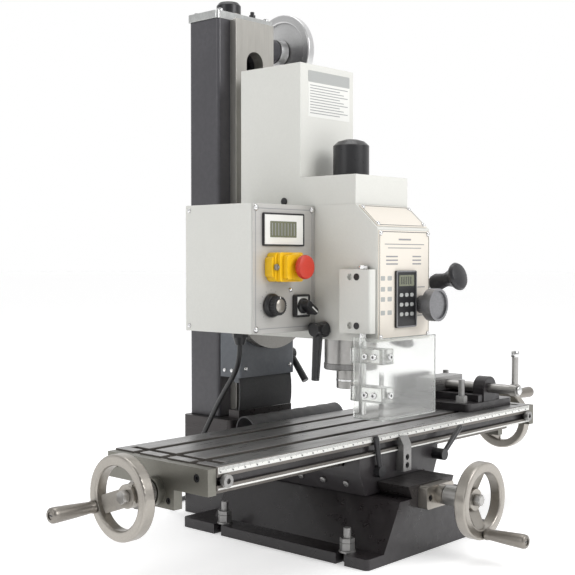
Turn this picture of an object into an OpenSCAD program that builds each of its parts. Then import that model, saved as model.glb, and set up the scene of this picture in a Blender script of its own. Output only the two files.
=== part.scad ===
// Bench milling machine with dovetail column, geared head and compound table.
// Frame: +Z up, -Y towards the operator, +X to the operator's right.
// The origin is on the base's underside, straight below the upright spindle.

/* [Table] */
// Length of the table along X
table_l = 700; // [640:10:760]
// Width of the table along Y
table_w = 180; // [170:2:190]
// Height of the table's top above the floor
table_top = 155; // [154:0.5:156]
// Width of a T-slot's neck
slot_w = 12; // [10:1:14]
// Distance between two T-slots
slot_pitch = 50; // [46:1:52]
// Diameter of the two table handwheels and of the cross slide's
wheel_d = 100; // [90:2:104]

/* [Base] */
// Width of the base's bottom flange
base_w = 280; // [270:2:300]
// Thickness of the bottom flange
flange_t = 14; // [10:1:16]
// Front of the base, in front of the spindle axis
base_front = 139; // [136:1:142]
// Height of the rear pedestal that carries the column
pedestal_h = 150; // [148:1:152]

/* [Column] */
// Width of the column
column_w = 120; // [116:1:124]
// Depth of the column's body
column_d = 64; // [62:1:68]
// Top of the column casting
column_top = 750; // [750:1:770]
// Distance from the spindle axis to the column's front face
throat = 207; // [206:1:209]
// Diameter of the head's lifting handwheel
lift_wheel_d = 125; // [110:5:126]

/* [Head] */
// Half width of the head casting
head_hw = 59.5; // [58:0.5:60]
// Underside of the head casting
head_z0 = 278; // [276:1:280]
// Top of the head casting
head_z1 = 463; // [460:1:466]
// Height of the tilt axis
tilt_z = 339; // [336:1:341]
// Diameter of the quill
quill_d = 75; // [70:1:76]
// Lower end of the spindle, with the quill drawn in
nose_z = 206; // [205.5:0.5:207]
// Top of the motor cover
cover_top = 664; // [650:2:670]

/* [Fits] */
// Radial clearance of shafts in their bores
run = 0.05; // [0.02:0.01:0.1]
// Gap between two sliding flat ways
way = 0.1; // [0.05:0.05:0.2]

/* [Hidden] */
$fn = 48;
// table
tx = table_l / 2;
ty = 2;
ty0 = ty - table_w / 2;
ty1 = ty + table_w / 2;
table_z0 = table_top - 28;
rail_hw = 60;
rail_z = table_top - 40;
dove_top = table_top - 26.4;
screw_x_z = table_top - 38;
bracket_t = 13;
screw_r = 8;
journal_r = 6;
rim_band = 13;
rim_t = 16;
grip_z = rim_t / 2 + 0.5;
left_bar = 111;
right_bar = 200;
// base and saddle
way_top = 92;
way_hw = 52.6;
neck_hw = 44;
shoulder_z = 75;
shoulder_hw = 71;
foot_hw = 106;
pedestal_hw = 75;
pedestal_y = 168;
rear_y = throat + column_d;
screw_y_z = 77;
saddle_hw = 90;
saddle_y0 = -87;
saddle_y1 = 85;
saddle_top = table_z0 - 0.2;
gib_t = 5;
// X and Z of the clamping levers
table_lock = [-52, 106];
saddle_lock = [82, 112];
stud_y = [-95, 128];
stud_x = 125;
// column and carriage
screw_z_y = throat + 38;
col_hw = column_w / 2;
dove_front = throat - 19;
dove_hw = 41.5;
dove_neck = 34;
slot_hw = 18;
slot_top = 686;
cap_t = 12;
lift_z = 726;
carriage_hw = 59;
carriage_y0 = 161;
carriage_z0 = 212;
carriage_z1 = 455;
// head
head_y0 = -92;
head_y1 = 147;
chamfer_y = -55;
chamfer_z = 430;
disc_r = 85;
tilt_bolt_angles = [-130, -50, 90];
quill_r = quill_d / 2;
quill_z0 = 233;
quill_z1 = 400;
rack_pitch = 6.28;
nose_r = 20.5;
pinion_y = -(quill_r + 10.5);
pinion_z = 345;
worm_x = 36;
worm_z = 326;
cover_step = 44;
cover_low = 503;
cover_y0 = -55;
cover_y1 = 160;
motor_y = 100;
belt_z0 = 474;
belt_z1 = 490;
spindle_pulley_r = 34;
motor_pulley_r = 24;
// control box
box_x0 = -183;
box_x1 = -(head_hw + 0.1);
box_y0 = 19;
box_y1 = 145.5;
box_z0 = 290;
box_z1 = 462;
plate_y = 17;
stop_x = -122;
stop_z = 378;
speed_x = -148;
speed_z = 327;
range_x = -91;
range_z = 325;
// guard
rod_x = -67;
rod_y = -74.5;
rod_r = 5;
// vise
vise_x = 265;
vise_z = 187;
// cord: the stretch that isn't coiled, from the gland to the coil
cord_r = 3.5;
gland_x = -150;
gland_y = 73;
cord_path = [
    [-150, 73, 272], [-150, 74, 258], [-148, 80, 242], [-143, 94, 226], [-136, 114, 208],
    [-127, 138, 186], [-118, 163, 160], [-112, 186, 132], [-108, 208, 104], [-104, 230, 76],
    [-99, 252, 50], [-90, 274, 28], [-76, 294, 12], [-56, 310, 5], [-30, 322, 3.5],
    [0, 328, 3.5], [34, 328, 3.5], [68, 322, 3.5], [100, 314, 3.5], [128, 305, 3.5],
    [152, 301, 3.5], [175, 301.5, 3.5]
];
coil_c = [175, 340];
coil_in = 31.5;
coil_out = 45.5;
coil_h = 21;

// ---- helpers ----

// A block between two opposite corners
module block(lo, hi) {
    translate(lo) cube(hi - lo);
}

// A block with its upright edges rounded to radius r
module post(lo, hi, r) {
    block([lo.x + r, lo.y, lo.z], [hi.x - r, hi.y, hi.z]);
    block([lo.x, lo.y + r, lo.z], [hi.x, hi.y - r, hi.z]);
    for (x = [lo.x + r, hi.x - r], y = [lo.y + r, hi.y - r])
        zrod(x, y, lo.z, hi.z, r);
}

// A block with the four edges along Y rounded to radius r
module slab_y(lo, hi, r) {
    block([lo.x + r, lo.y, lo.z], [hi.x - r, hi.y, hi.z]);
    block([lo.x, lo.y, lo.z + r], [hi.x, hi.y, hi.z - r]);
    for (x = [lo.x + r, hi.x - r], z = [lo.z + r, hi.z - r])
        yrod(x, lo.y, hi.y, z, r);
}

// Round bars along each axis, with an end radius for a taper
module xrod(x0, x1, y, z, r, r2 = -1) {
    translate([x0, y, z]) rotate([0, 90, 0])
        cylinder(h = x1 - x0, r1 = r, r2 = r2 < 0 ? r : r2);
}

module yrod(x, y0, y1, z, r, r2 = -1) {
    translate([x, y0, z]) rotate([-90, 0, 0])
        cylinder(h = y1 - y0, r1 = r, r2 = r2 < 0 ? r : r2);
}

module zrod(x, y, z0, z1, r, r2 = -1) {
    translate([x, y, z0]) cylinder(h = z1 - z0, r1 = r, r2 = r2 < 0 ? r : r2);
}

// An outline in X and Z, drawn out along Y
module along_y(y0, y1) {
    translate([0, y1, 0]) rotate([90, 0, 0]) linear_extrude(y1 - y0) children();
}

// An outline in Y and Z, drawn out along X
module along_x(x0, x1) {
    translate([x0, 0, 0]) rotate([90, 0, 90]) linear_extrude(x1 - x0) children();
}

// The cross section of a handwheel's rim: a flat band with rounded edges
module rim_outline(r, band, thick) {
    e = 2.5;
    translate([r - band + e, -thick / 2]) square([band - 2 * e, thick]);
    translate([r - band, -thick / 2 + e]) square([band, thick - 2 * e]);
    for (x = [r - band + e, r - e], y = [-thick / 2 + e, thick / 2 - e])
        translate([x, y]) circle(r = e);
}

// A handwheel round Z with two dished arms, a hub set back, an axle bore and a grip pin at angle a
module handwheel(d, a, pin_r, pin_l, bore_r) {
    r = d / 2;
    difference() {
        union() {
            rotate_extrude($fn = 96) rim_outline(r, rim_band, rim_t);
            rotate([0, 0, a]) for (s = [0, 1]) mirror([s, 0, 0])
                rotate([90, 0, 0]) translate([0, 0, -11]) linear_extrude(22)
                    polygon([[8, -19], [r - rim_band + 2, -4], [r - rim_band + 2, 2], [8, -12]]);
            zrod(0, 0, -20, -6, 14);
        }
        zrod(0, 0, -21, -5, bore_r);
    }
    rotate([0, 0, a]) translate([r - 8, 0, 0]) zrod(0, 0, -5, pin_l, pin_r);
}

// A turning grip for a pin of radius pin_r, from z = 0 to length l
module grip(l, pin_r) {
    difference() {
        rotate_extrude($fn = 40)
            polygon([
                [0, 0], [6, 0], [7.6, 2], [7.2, 8], [8.2, l * 0.45], [9.2, l - 8],
                [8.9, l - 2], [7.4, l], [0, l]
            ]);
        zrod(0, 0, -1, l - 3, pin_r + run);
    }
}

// A hexagon nut or bolt head round Z
module hex(x, y, z0, z1, across) {
    translate([x, y, z0]) cylinder(h = z1 - z0, r = across / sqrt(3), $fn = 6);
}

// ---- base ----

// The dovetail way's outline, with its flanks moved out by g
module way_outline(g, top) {
    polygon([
        [-neck_hw - g, shoulder_z - 1], [neck_hw + g, shoulder_z - 1],
        [way_hw + g, top], [-way_hw - g, top]
    ]);
}

module base() {
    color("#26262b") difference() {
        union() {
            post([-base_w / 2, -base_front, 0], [base_w / 2, 200, flange_t], 6);
            along_y(-base_front, pedestal_y)
                polygon([
                    [-foot_hw, flange_t - 1], [foot_hw, flange_t - 1],
                    [shoulder_hw, shoulder_z], [-shoulder_hw, shoulder_z]
                ]);
            along_y(-base_front, pedestal_y) way_outline(0, way_top);
            post([-pedestal_hw, pedestal_y - 1, 0], [pedestal_hw, rear_y, pedestal_h], 8);
            block([-58, pedestal_y - 2, pedestal_h - 6], [58, dove_front - 0.5, pedestal_h + 13]);
        }
        // open slots for the hold-down studs
        for (s = [-1, 1], y = stud_y) {
            zrod(s * stud_x, y, -1, flange_t + 1, 7);
            block([min(s * stud_x, s * (base_w / 2 + 1)), y - 7, -1],
                [max(s * stud_x, s * (base_w / 2 + 1)), y + 7, flange_t + 1]);
            zrod(s * stud_x, y, flange_t, 30, 13);
        }
        // channel of the cross slide's screw, and the screw's bore at the front
        block([-16, -84, 58], [16, 150, way_top + 1]);
        yrod(0, -base_front - 1, -83, screw_y_z, screw_r + run);
    }
}

module hold_down_studs() {
    color("#9a9a98") for (s = [-1, 1], y = stud_y) {
        zrod(s * stud_x, y, 1, 45, 5);
        zrod(s * stud_x, y, flange_t, flange_t + 2.5, 11);
        hex(s * stud_x, y, flange_t + 2.5, flange_t + 12, 17);
        hex(s * stud_x, y, flange_t + 12.5, flange_t + 18, 17);
    }
}

module y_screw_bracket() {
    color("#a9a8a2") difference() {
        union() {
            slab_y([-31, -base_front - 14, 60], [31, -base_front, 90], 4);
            yrod(0, -base_front - 24, -base_front - 13, screw_y_z, 13);
        }
        yrod(0, -base_front - 25, -base_front + 1, screw_y_z, screw_r + run);
        for (s = [-1, 1])
            yrod(s * 23, -base_front - 15, -base_front - 5, 75, 4);
    }
}

// ---- column ----

module column() {
    color("#2b2c31") difference() {
        union() {
            post([-col_hw, throat, pedestal_h], [col_hw, rear_y, column_top], 6);
            translate([0, 0, pedestal_h])
                linear_extrude(column_top - pedestal_h)
                    polygon([
                        [-dove_neck, throat + 1], [-dove_hw, dove_front], [dove_hw, dove_front],
                        [dove_neck, throat + 1]
                    ]);
        }
        // hollow for the lifting screw, and the nut's slot with its round top
        block([-45, throat + 10, 166], [45, rear_y - 6, column_top - 5]);
        block([-slot_hw, dove_front - 1, 180], [slot_hw, throat + 11, slot_top]);
        yrod(0, dove_front - 1, throat + 11, slot_top, slot_hw);
        // bores of the lifting screw and of the handwheel's shaft
        zrod(0, screw_z_y, column_top - 6, column_top + 1, 10 + run);
        zrod(0, screw_z_y, 158, 167, 10 + run);
        xrod(44, col_hw + 1, screw_z_y, lift_z, screw_r + run);
    }
}

module column_cap() {
    color("#c9c9c4") difference() {
        post([-col_hw - 2, throat, column_top], [col_hw + 2, rear_y + 2, column_top + cap_t], 5);
        zrod(0, screw_z_y, column_top - 1, column_top + cap_t + 1, 14);
    }
}

module z_bearing_cap() {
    z = column_top + cap_t;
    color("#1d1d20") {
        difference() {
            union() {
                zrod(0, screw_z_y, z, z + 20, 19);
                zrod(0, screw_z_y, z + 20, z + 25, 19, 15);
            }
            zrod(0, screw_z_y, z - 1, z + 18, 15);
        }
        // oiler
        zrod(30, screw_z_y - 22, z, z + 8, 5);
        zrod(30, screw_z_y - 22, z + 8, z + 13, 3.2);
    }
}

module z_wheel_bracket() {
    color("#2b2c31") difference() {
        union() {
            block([col_hw, screw_z_y - 26, lift_z - 26], [col_hw + 10, screw_z_y + 26, lift_z + 23]);
            xrod(col_hw + 9, col_hw + 40, screw_z_y, lift_z, 19);
        }
        xrod(col_hw - 1, col_hw + 41, screw_z_y, lift_z, screw_r + run);
    }
}

// ---- rubber way covers ----

// A point on the arch of the rear cover, at angle a round its centre
function arch(a, r) = [112 + r * cos(a), 146 + r * sin(a)];

module y_way_cover() {
    color("#3a3a3c") along_x(-100, 100) difference() {
        polygon(concat(
            [[86, 112], [93, 120]],
            [for (a = [180 : -15 : 0]) arch(a, 19)],
            [[133, 126], [150, 120], [pedestal_y - 1, 119], [pedestal_y - 1, 112]]
        ));
        polygon(concat(
            [[89.5, 108], [96, 118]],
            [for (a = [180 : -15 : 0]) arch(a, 16)],
            [[130, 124], [148, 117], [pedestal_y + 1, 116], [pedestal_y + 1, 100], [89, 100]]
        ));
    }
}

module z_way_cover() {
    color("#1f1f21") along_x(-57, 57)
        polygon([
            [165, 163], [162, 170], [160.5, 185], [162, 200], [166, 211],
            [169, 211], [165, 199], [163.5, 185], [165, 171], [169, 163]
        ]);
}

// ---- saddle ----

// Everything the saddle's casting spans, seen from the front
module saddle_front() {
    polygon([
        [-76, 76], [76, 76], [saddle_hw, 106], [saddle_hw, saddle_top],
        [-saddle_hw, saddle_top], [-saddle_hw, 106]
    ]);
}

// The cross dovetail's outline in Y and Z, with its flanks moved out by g
module cross_outline(g, z0, z1) {
    polygon([
        [ty - 37 - g, z0], [ty + 37 + g, z0], [ty + 44 + g, z1], [ty - 44 - g, z1]
    ]);
}

module saddle() {
    color("#3a3b40") difference() {
        union() {
            difference() {
                along_y(saddle_y0, saddle_y1) saddle_front();
                block([-100, ty - rail_hw - 3, rail_z - 0.2], [100, ty + rail_hw + 3, table_z0 + 5]);
            }
            along_x(-saddle_hw, saddle_hw) cross_outline(0, rail_z - 1, dove_top);
        }
        // slot round the base's way, wider on the right for the gib
        along_y(saddle_y0 - 1, saddle_y1 + 1) {
            way_outline(way, way_top + way);
            translate([gib_t + way, 0]) way_outline(way, way_top + way);
        }
        // channel of the table's screw, the nuts' seats
        block([-100, ty - 13, 103], [100, ty + 13, table_z0 + 5]);
        block([-14.1, 29.9, way_top - 2], [14.1, 60.1, way_top + 6]);
        // bores of the two clamping levers
        for (p = [table_lock, saddle_lock])
            yrod(p.x, saddle_y0 - 1, saddle_y0 + 17, p.y, 4 + run);
    }
}

module gibs_and_nuts() {
    color("#b08d57") {
        // gib strip between the saddle and the base's right flank
        along_y(saddle_y0 + 1, saddle_y1 - 1)
            polygon([
                [neck_hw + 1.7, 77], [neck_hw + gib_t + 0.9, 77],
                [way_hw + gib_t - 0.2, way_top - 0.5], [way_hw + 0.8, way_top - 0.5]
            ]);
        // nut of the table's screw
        difference() {
            block([-15, ty - 12.9, 103.1], [15, ty + 12.9, 125.5]);
            xrod(-16, 16, ty, screw_x_z, screw_r + run);
        }
        // nut of the cross slide's screw
        difference() {
            block([-14, 30, 64], [14, 60, way_top + 5.9]);
            yrod(0, 29, 61, screw_y_z, screw_r + run);
        }
    }
}

module stop_block() {
    color("#8f8f8b") difference() {
        along_x(-9, 9)
            polygon([
                [saddle_y0 - 0.1, 100], [saddle_y0 - 0.1, 126], [ty0 - 2, 126], [ty0 - 2, 147],
                [ty0 - 5, 147], [ty0 - 11, 136], [ty0 - 11, 100]
            ]);
        for (z = [108, 119])
            yrod(0, ty0 - 12, ty0 - 7, z, 4);
    }
}

// A clamping lever round Y: shank into the casting, hub, and a tapered arm at angle a from up
module clamp_lever(x, z, a, arm, y_face, hub_l) {
    yrod(x, y_face, y_face + 16, z, 4);
    yrod(x, y_face - hub_l, y_face, z, 8);
    translate([x, y_face - hub_l + 3.5, z]) rotate([0, a, 0]) {
        zrod(0, 0, 0, arm - 4, 3.2, 4.2);
        zrod(0, 0, arm - 4, arm, 4.2, 2.6);
    }
}

module table_lock_lever() {
    color("#1b1b1d") clamp_lever(table_lock.x, table_lock.y, -12, 50, saddle_y0 - 0.1, 9);
}

module saddle_lock_lever() {
    color("#1b1b1d") clamp_lever(saddle_lock.x, saddle_lock.y, 52, 58, saddle_y0 - 0.1, 18);
}

// ---- table ----

module table() {
    color("#77777a") difference() {
        union() {
            block([-tx, ty0, table_z0], [tx, ty1, table_top]);
            block([-tx + 20, ty - rail_hw, rail_z], [tx - 20, ty + rail_hw, table_z0 + 1]);
        }
        for (y = [ty - slot_pitch, ty, ty + slot_pitch]) {
            block([-tx - 1, y - slot_w / 2, table_top - 15], [tx + 1, y + slot_w / 2, table_top + 1]);
            block([-tx - 1, y - slot_w / 2 - 4, table_top - 15], [tx + 1, y + slot_w / 2 + 4, table_top - 8]);
        }
        // the saddle's dovetail with the cross gib's play
        along_x(-tx - 1, tx + 1) cross_outline(way, rail_z - 1, dove_top + 0.2);
        // groove of the travel stops along the front
        block([-tx - 1, ty0 - 1, table_top - 22], [tx + 1, ty0 + 6, table_top - 13]);
        // coolant channels at the ends
        for (s = [-1, 1])
            block([s * (tx - 20) - 5, ty0 + 10, table_top - 4], [s * (tx - 20) + 5, ty1 - 10, table_top + 1]);
    }
}

// One end bracket, at the right end
module end_bracket() {
    difference() {
        union() {
            block([tx, ty0 + 1, table_top - 33], [tx + bracket_t, ty1 - 1, table_top - 2]);
            block([tx, ty - 32, 98], [tx + bracket_t, ty + 32, table_top - 30]);
            xrod(tx + bracket_t - 1, tx + bracket_t + 10, ty, screw_x_z, 17);
        }
        xrod(tx - 1, tx + bracket_t + 11, ty, screw_x_z, journal_r + run);
        for (y = [ty - 70, ty + 70])
            xrod(tx + bracket_t - 7, tx + bracket_t + 1, y, table_top - 14, 5);
        for (y = [ty - 22, ty + 22])
            xrod(tx + bracket_t - 7, tx + bracket_t + 1, y, 108, 4);
    }
}

module end_brackets() {
    color("#b7b5ae") {
        end_bracket();
        mirror([1, 0, 0]) end_bracket();
    }
}

module table_fasteners() {
    color("#6b6b6b") {
        // travel stops in the front groove
        for (s = [-1, 1]) difference() {
            union() {
                yrod(s * (tx - 12), ty0 - 7, ty0 - 0.3, table_top - 17.5, 7.5);
                yrod(s * (tx - 12), ty0 - 0.3, ty0 + 5.5, table_top - 17.5, 3.8);
            }
            translate([s * (tx - 12), ty0 - 8, table_top - 17.5]) rotate([-90, 0, 0])
                cylinder(h = 4, r = 3.5, $fn = 6);
        }
        // T-bolts of the vise, with washers and nuts
        for (p = [[vise_x - 53, ty - slot_pitch], [vise_x + 53, ty + slot_pitch]]) {
            zrod(p.x, p.y, table_top - 14.5, 203, 4.8);
            block([p.x - 9, p.y - 9, table_top - 14.6], [p.x + 9, p.y + 9, table_top - 8.4]);
            zrod(p.x, p.y, 167, 169, 9);
            hex(p.x, p.y, 169, 178, 15);
        }
    }
}

// ---- table screw ----

module x_screw() {
    color("#8b8b8b") {
        xrod(-tx - 2, tx + 2, ty, screw_x_z, journal_r);
        xrod(-tx + 4, tx - 4, ty, screw_x_z, screw_r);
        for (s = [0, 1]) mirror([s, 0, 0]) {
            xrod(tx, wheel_x + 2.5, ty, screw_x_z, journal_r);
            xrod(tx + bracket_t + 11, wheel_x - 20.1, ty, screw_x_z, 15, 17);
            translate([wheel_x - 5.9, ty, screw_x_z]) rotate([0, 90, 0])
                cylinder(h = 8, r = 8, $fn = 6);
        }
    }
}

wheel_x = tx + 63.5;
module x_handwheels() {
    color("#b9b9b6") {
        translate([wheel_x, ty, screw_x_z]) rotate([0, 90, 0])
            handwheel(wheel_d, right_bar, 4, 60, journal_r + run);
        translate([-wheel_x, ty, screw_x_z]) rotate([0, -90, 0])
            handwheel(wheel_d, left_bar, 4, 60, journal_r + run);
    }
}

module x_grip_right() {
    color("#8b8a86") translate([wheel_x, ty, screw_x_z]) rotate([0, 90, 0])
        rotate([0, 0, right_bar]) translate([wheel_d / 2 - 8, 0, grip_z]) grip(62, 4);
}

module x_grip_left() {
    color("#8b8a86") translate([-wheel_x, ty, screw_x_z]) rotate([0, -90, 0])
        rotate([0, 0, left_bar]) translate([wheel_d / 2 - 8, 0, grip_z]) grip(62, 4);
}

// ---- cross slide screw ----

wheel_y = -214;
module y_screw() {
    color("#8b8b8b") {
        yrod(0, -190, 140, screw_y_z, screw_r);
        yrod(0, wheel_y - 3, -189, screw_y_z, journal_r);
        yrod(0, wheel_y + 20.1, -base_front - 25, screw_y_z, 13.5);
        translate([0, wheel_y - 2.1, screw_y_z]) rotate([-90, 0, 0])
            cylinder(h = 8, r = 8, $fn = 6);
    }
}

module y_handwheel() {
    color("#b9b9b6") translate([0, wheel_y, screw_y_z]) rotate([90, 0, 0])
        handwheel(wheel_d, -90, 4, 58, journal_r + run);
}

module y_grip() {
    color("#8b8a86") translate([0, wheel_y, screw_y_z]) rotate([90, 0, 0])
        rotate([0, 0, -90]) translate([wheel_d / 2 - 8, 0, grip_z]) grip(60, 4);
}

// ---- lifting gear ----

module z_screw() {
    color("#8b8b8b") {
        zrod(0, screw_z_y, 160, column_top + 27, 10);
        difference() {
            zrod(0, screw_z_y, lift_z - 18.2, lift_z - 10.3, 18, 10.1);
            for (i = [0 : 11])
                translate([0, screw_z_y, lift_z - 14]) rotate([0, 0, i * 30])
                    translate([13, 0, 1.4]) rotate([0, 45, 0]) cube([14.4, 3, 3.6], center = true);
        }
    }
}

module z_handwheel() {
    color("#b9b9b6") {
        difference() {
            xrod(10.1, 18, screw_z_y, lift_z, 10.1, 18);
            for (i = [0 : 11])
                translate([14, screw_z_y, lift_z]) rotate([i * 30, 0, 0])
                    translate([-1.4, 0, 13]) rotate([0, 45, 0]) cube([3.6, 3, 14.4], center = true);
        }
        xrod(17, 138, screw_z_y, lift_z, screw_r);
        xrod(101, 116, screw_z_y, lift_z, 20, 22);
        translate([126, screw_z_y, lift_z]) rotate([0, 90, 0]) {
            rotate_extrude($fn = 96) rim_outline(lift_wheel_d / 2, 13, 14);
            rotate_extrude($fn = 96)
                polygon([[5, -6], [22, -7.5], [52, -2.2], [52, 2.6], [22, -1.5], [5, 0]]);
            zrod(0, 0, -11, 9, 16);
            translate([lift_wheel_d / 2 - 8, 0, 0]) zrod(0, 0, -5, 58, 4);
        }
    }
}

module z_grip() {
    color("#8b8a86") translate([126, screw_z_y, lift_z]) rotate([0, 90, 0])
        translate([lift_wheel_d / 2 - 8, 0, 7.5]) grip(60, 4);
}

// ---- carriage ----

module z_carriage() {
    color("#4b545e") difference() {
        union() {
            post([-carriage_hw, carriage_y0, carriage_z0], [carriage_hw, throat - 0.5, carriage_z1], 4);
            block([-50, 170, carriage_z0 - 9], [50, 184, carriage_z0 + 1]);
        }
        // dovetail slot round the column's way
        translate([0, 0, carriage_z0 - 12]) linear_extrude(carriage_z1 - carriage_z0 + 20)
            polygon([
                [-dove_neck - way, throat + 1], [-dove_hw - way, dove_front - way],
                [dove_hw + way, dove_front - way], [dove_neck + way, throat + 1]
            ]);
        // ring groove of the tilt bolts, and the pivot's bore
        yrod(0, carriage_y0 - 1, carriage_y0 + 20, tilt_z, 15 + run);
        translate([0, carriage_y0 - 1, tilt_z]) rotate([-90, 0, 0])
            rotate_extrude($fn = 96) translate([60, 0]) square([18, 12]);
        // bore of the lock lever
        xrod(carriage_hw - 12, carriage_hw + 1, 178, 240, 5 + run);
    }
}

module z_nut() {
    color("#b08d57") difference() {
        union() {
            block([-11.5, dove_front + 0.2, 300], [11.5, throat + 12, 345]);
            zrod(0, screw_z_y, 300, 345, 19);
            block([-11.5, throat + 11, 300], [11.5, screw_z_y, 345]);
        }
        zrod(0, screw_z_y, 299, 346, 10 + run);
    }
}

module z_lock_lever() {
    color("#1b1b1d") {
        xrod(carriage_hw - 11, carriage_hw + 8, 178, 240, 5);
        xrod(carriage_hw + 3, carriage_hw + 15, 178, 240, 9);
        translate([carriage_hw + 10, 178, 240]) rotate([-38, 0, 0])
            zrod(0, 0, -52, 0, 5.5, 5);
    }
}

// ---- head ----

module head_casting() {
    color("#d9d9d4") difference() {
        union() {
            along_x(-head_hw, head_hw)
                polygon([
                    [head_y0, head_z0], [head_y1, head_z0], [head_y1, head_z1],
                    [chamfer_y, head_z1], [head_y0, chamfer_z]
                ]);
            yrod(0, head_y1 - 1, carriage_y0 - 0.2, tilt_z, disc_r);
            yrod(0, carriage_y0 - 0.2, carriage_y0 + 18, tilt_z, 15);
        }
        zrod(0, 0, head_z0 - 1, 440, quill_r + run);
        zrod(0, 0, 439, head_z1 + 1, 22);
        block([-46, 50, head_z0 + 12], [46, head_y1 - 12, head_z1 - 10]);
        // capstan shaft, pinion pocket and worm gear pocket
        xrod(-30, head_hw + 1, pinion_y, pinion_z, 9 + run);
        block([-13, pinion_y - 13, pinion_z - 13], [13, -30, pinion_z + 13]);
        block([worm_x - 9, pinion_y - 15, worm_z - 8], [worm_x + 9, pinion_y + 15, pinion_z + 15]);
        yrod(worm_x, head_y0 - 1, pinion_y + 30, worm_z, 5 + run);
        // quill lock
        xrod(-head_hw - 1, -quill_r, -2, 292, 6 + run);
        // seats of the tilt bolts
        for (a = tilt_bolt_angles)
            translate([69 * cos(a), 0, 69 * sin(a) + tilt_z])
                yrod(0, head_y1 - 10, carriage_y0 + 1, 0, 5 + run);
        // pockets of the two lower nuts
        for (a = [tilt_bolt_angles[0], tilt_bolt_angles[1]])
            yrod(69 * cos(a), head_y1 - 13, head_y1 - 1.05, 69 * sin(a) + tilt_z, 10.5);
    }
}

module tilt_bolts() {
    color("#8a8a88") for (a = tilt_bolt_angles)
        translate([69 * cos(a), 0, 69 * sin(a) + tilt_z]) {
            yrod(0, head_y1 + 0.1, carriage_y0 + 4, 0, 5);
            yrod(0, carriage_y0 + 3, carriage_y0 + 9, 0, 8);
            if (a < 0) {
                yrod(0, head_y1 - 11, head_y1 + 0.2, 0, 5);
                yrod(0, head_y1 - 3.6, head_y1 - 1.1, 0, 9);
                translate([0, head_y1 - 11.5, 0]) rotate([-90, 0, 0])
                    cylinder(h = 7.8, r = 8.5, $fn = 6);
            }
        }
}

module front_panel() {
    // sloping plate, main plate and the depth read-out on it
    color("#e9e6d8") {
        difference() {
            block([-58, head_y0 - 1.5, 281], [58, head_y0 - 0.05, 427]);
            yrod(worm_x, head_y0 - 2, head_y0 + 1, worm_z, 5.6);
        }
        translate([0, head_y0, chamfer_z]) rotate([-atan2(chamfer_y - head_y0, head_z1 - chamfer_z), 0, 0])
            block([-56, -1.5, 3], [56, -0.1, 46]);
    }
    color("#1b1b1d") slab_y([-23, head_y0 - 4.5, 296], [23, head_y0 - 1.55, 373], 2);
}

// The cover's outline in Y and Z, grown inwards by t
module cover_outline(t) {
    polygon([
        [cover_y0 + t, head_z1 + 0.1 - t * 2], [cover_y1 - t, head_z1 + 0.1 - t * 2],
        [cover_y1 - t, cover_top - t], [cover_step + t, cover_top - t],
        [cover_step + t, cover_low - t], [cover_y0 + t, cover_low - t]
    ]);
}

module drive_cover() {
    color("#dcdcd7") difference() {
        along_x(-head_hw + 0.5, head_hw - 0.5) cover_outline(0);
        along_x(-head_hw + 2.5, head_hw - 2.5) cover_outline(2);
        zrod(0, 0, cover_low - 3, cover_low + 1, 22.5);
        xrod(-head_hw, -head_hw + 6, 74, 470, 4);
    }
}

module drawbar_cap() {
    color("#1b1c1f") difference() {
        union() {
            zrod(0, 0, cover_low + 0.1, cover_low + 45, 25.5);
            zrod(0, 0, cover_low + 45, cover_low + 51, 25.5, 19);
            zrod(0, 0, cover_low + 51, cover_low + 54, 19, 9);
        }
        zrod(0, 0, cover_low - 1, cover_low + 48, 22);
    }
}

module motor() {
    color("#3c3d40") {
        difference() {
            union() {
                zrod(0, motor_y, 503, 642, 50);
                block([-55, motor_y - 53, 495], [55, motor_y + 53, 503.5]);
            }
            zrod(0, motor_y, 494, 520, 7 + run);
            for (i = [0 : 17])
                translate([0, motor_y, 0]) rotate([0, 0, i * 20])
                    block([46, -2, 520], [52, 2, 630]);
        }
        for (sx = [-50, 50], sy = [-40, 40])
            zrod(sx, motor_y + sy, head_z1 + 0.1, 495, 6);
    }
}

module motor_pulley() {
    color("#a5a5a2") {
        zrod(0, motor_y, 468, 519, 7);
        zrod(0, motor_y, belt_z0 - 3, belt_z1 + 3, motor_pulley_r - 3);
        for (z = [belt_z0 - 5, belt_z1 + 2])
            zrod(0, motor_y, z, z + 3, motor_pulley_r + 3);
    }
}

module spindle_pulley() {
    color("#a5a5a2") difference() {
        union() {
            zrod(0, 0, belt_z0 - 8, belt_z1 + 5, spindle_pulley_r - 3);
            for (z = [belt_z0 - 5, belt_z1 + 2])
                zrod(0, 0, z, z + 3, spindle_pulley_r + 3);
            zrod(0, 0, 450, belt_z0 - 7, 20);
        }
        zrod(0, 0, 449, belt_z1 + 6, 13 + run);
    }
}

// The belt's outline in X and Y: two arcs joined by tangents, grown by t
module belt_outline(t) {
    r0 = spindle_pulley_r - 2.5 + t;
    r1 = motor_pulley_r - 2.5 + t;
    a = acos((r0 - r1) / motor_y);
    polygon(concat(
        [for (i = [0 : 24]) let (b = 90 + a + i * (360 - 2 * a) / 24) [r0 * cos(b), r0 * sin(b)]],
        [for (i = [0 : 16]) let (b = 90 - a + i * (2 * a) / 16) [r1 * cos(b), motor_y + r1 * sin(b)]]
    ));
}

module drive_belt() {
    color("#1c1c1c") translate([0, 0, belt_z0 - 1.5])
        linear_extrude(belt_z1 - belt_z0 + 3) difference() {
            belt_outline(3);
            belt_outline(0);
        }
}

module quill() {
    color("#a3a19b") difference() {
        zrod(0, 0, quill_z0, quill_z1, quill_r);
        zrod(0, 0, quill_z0 - 1, quill_z1 + 1, 17 + run);
        // rack: a flat with tooth gaps
        block([-9, -quill_r - 1, 258], [9, pinion_y + 12, quill_z1 + 1]);
        for (i = [0 : 21])
            block([-9, -quill_r - 1, 262.2 + i * rack_pitch], [9, pinion_y + 14, 264.7 + i * rack_pitch]);
    }
}

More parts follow.
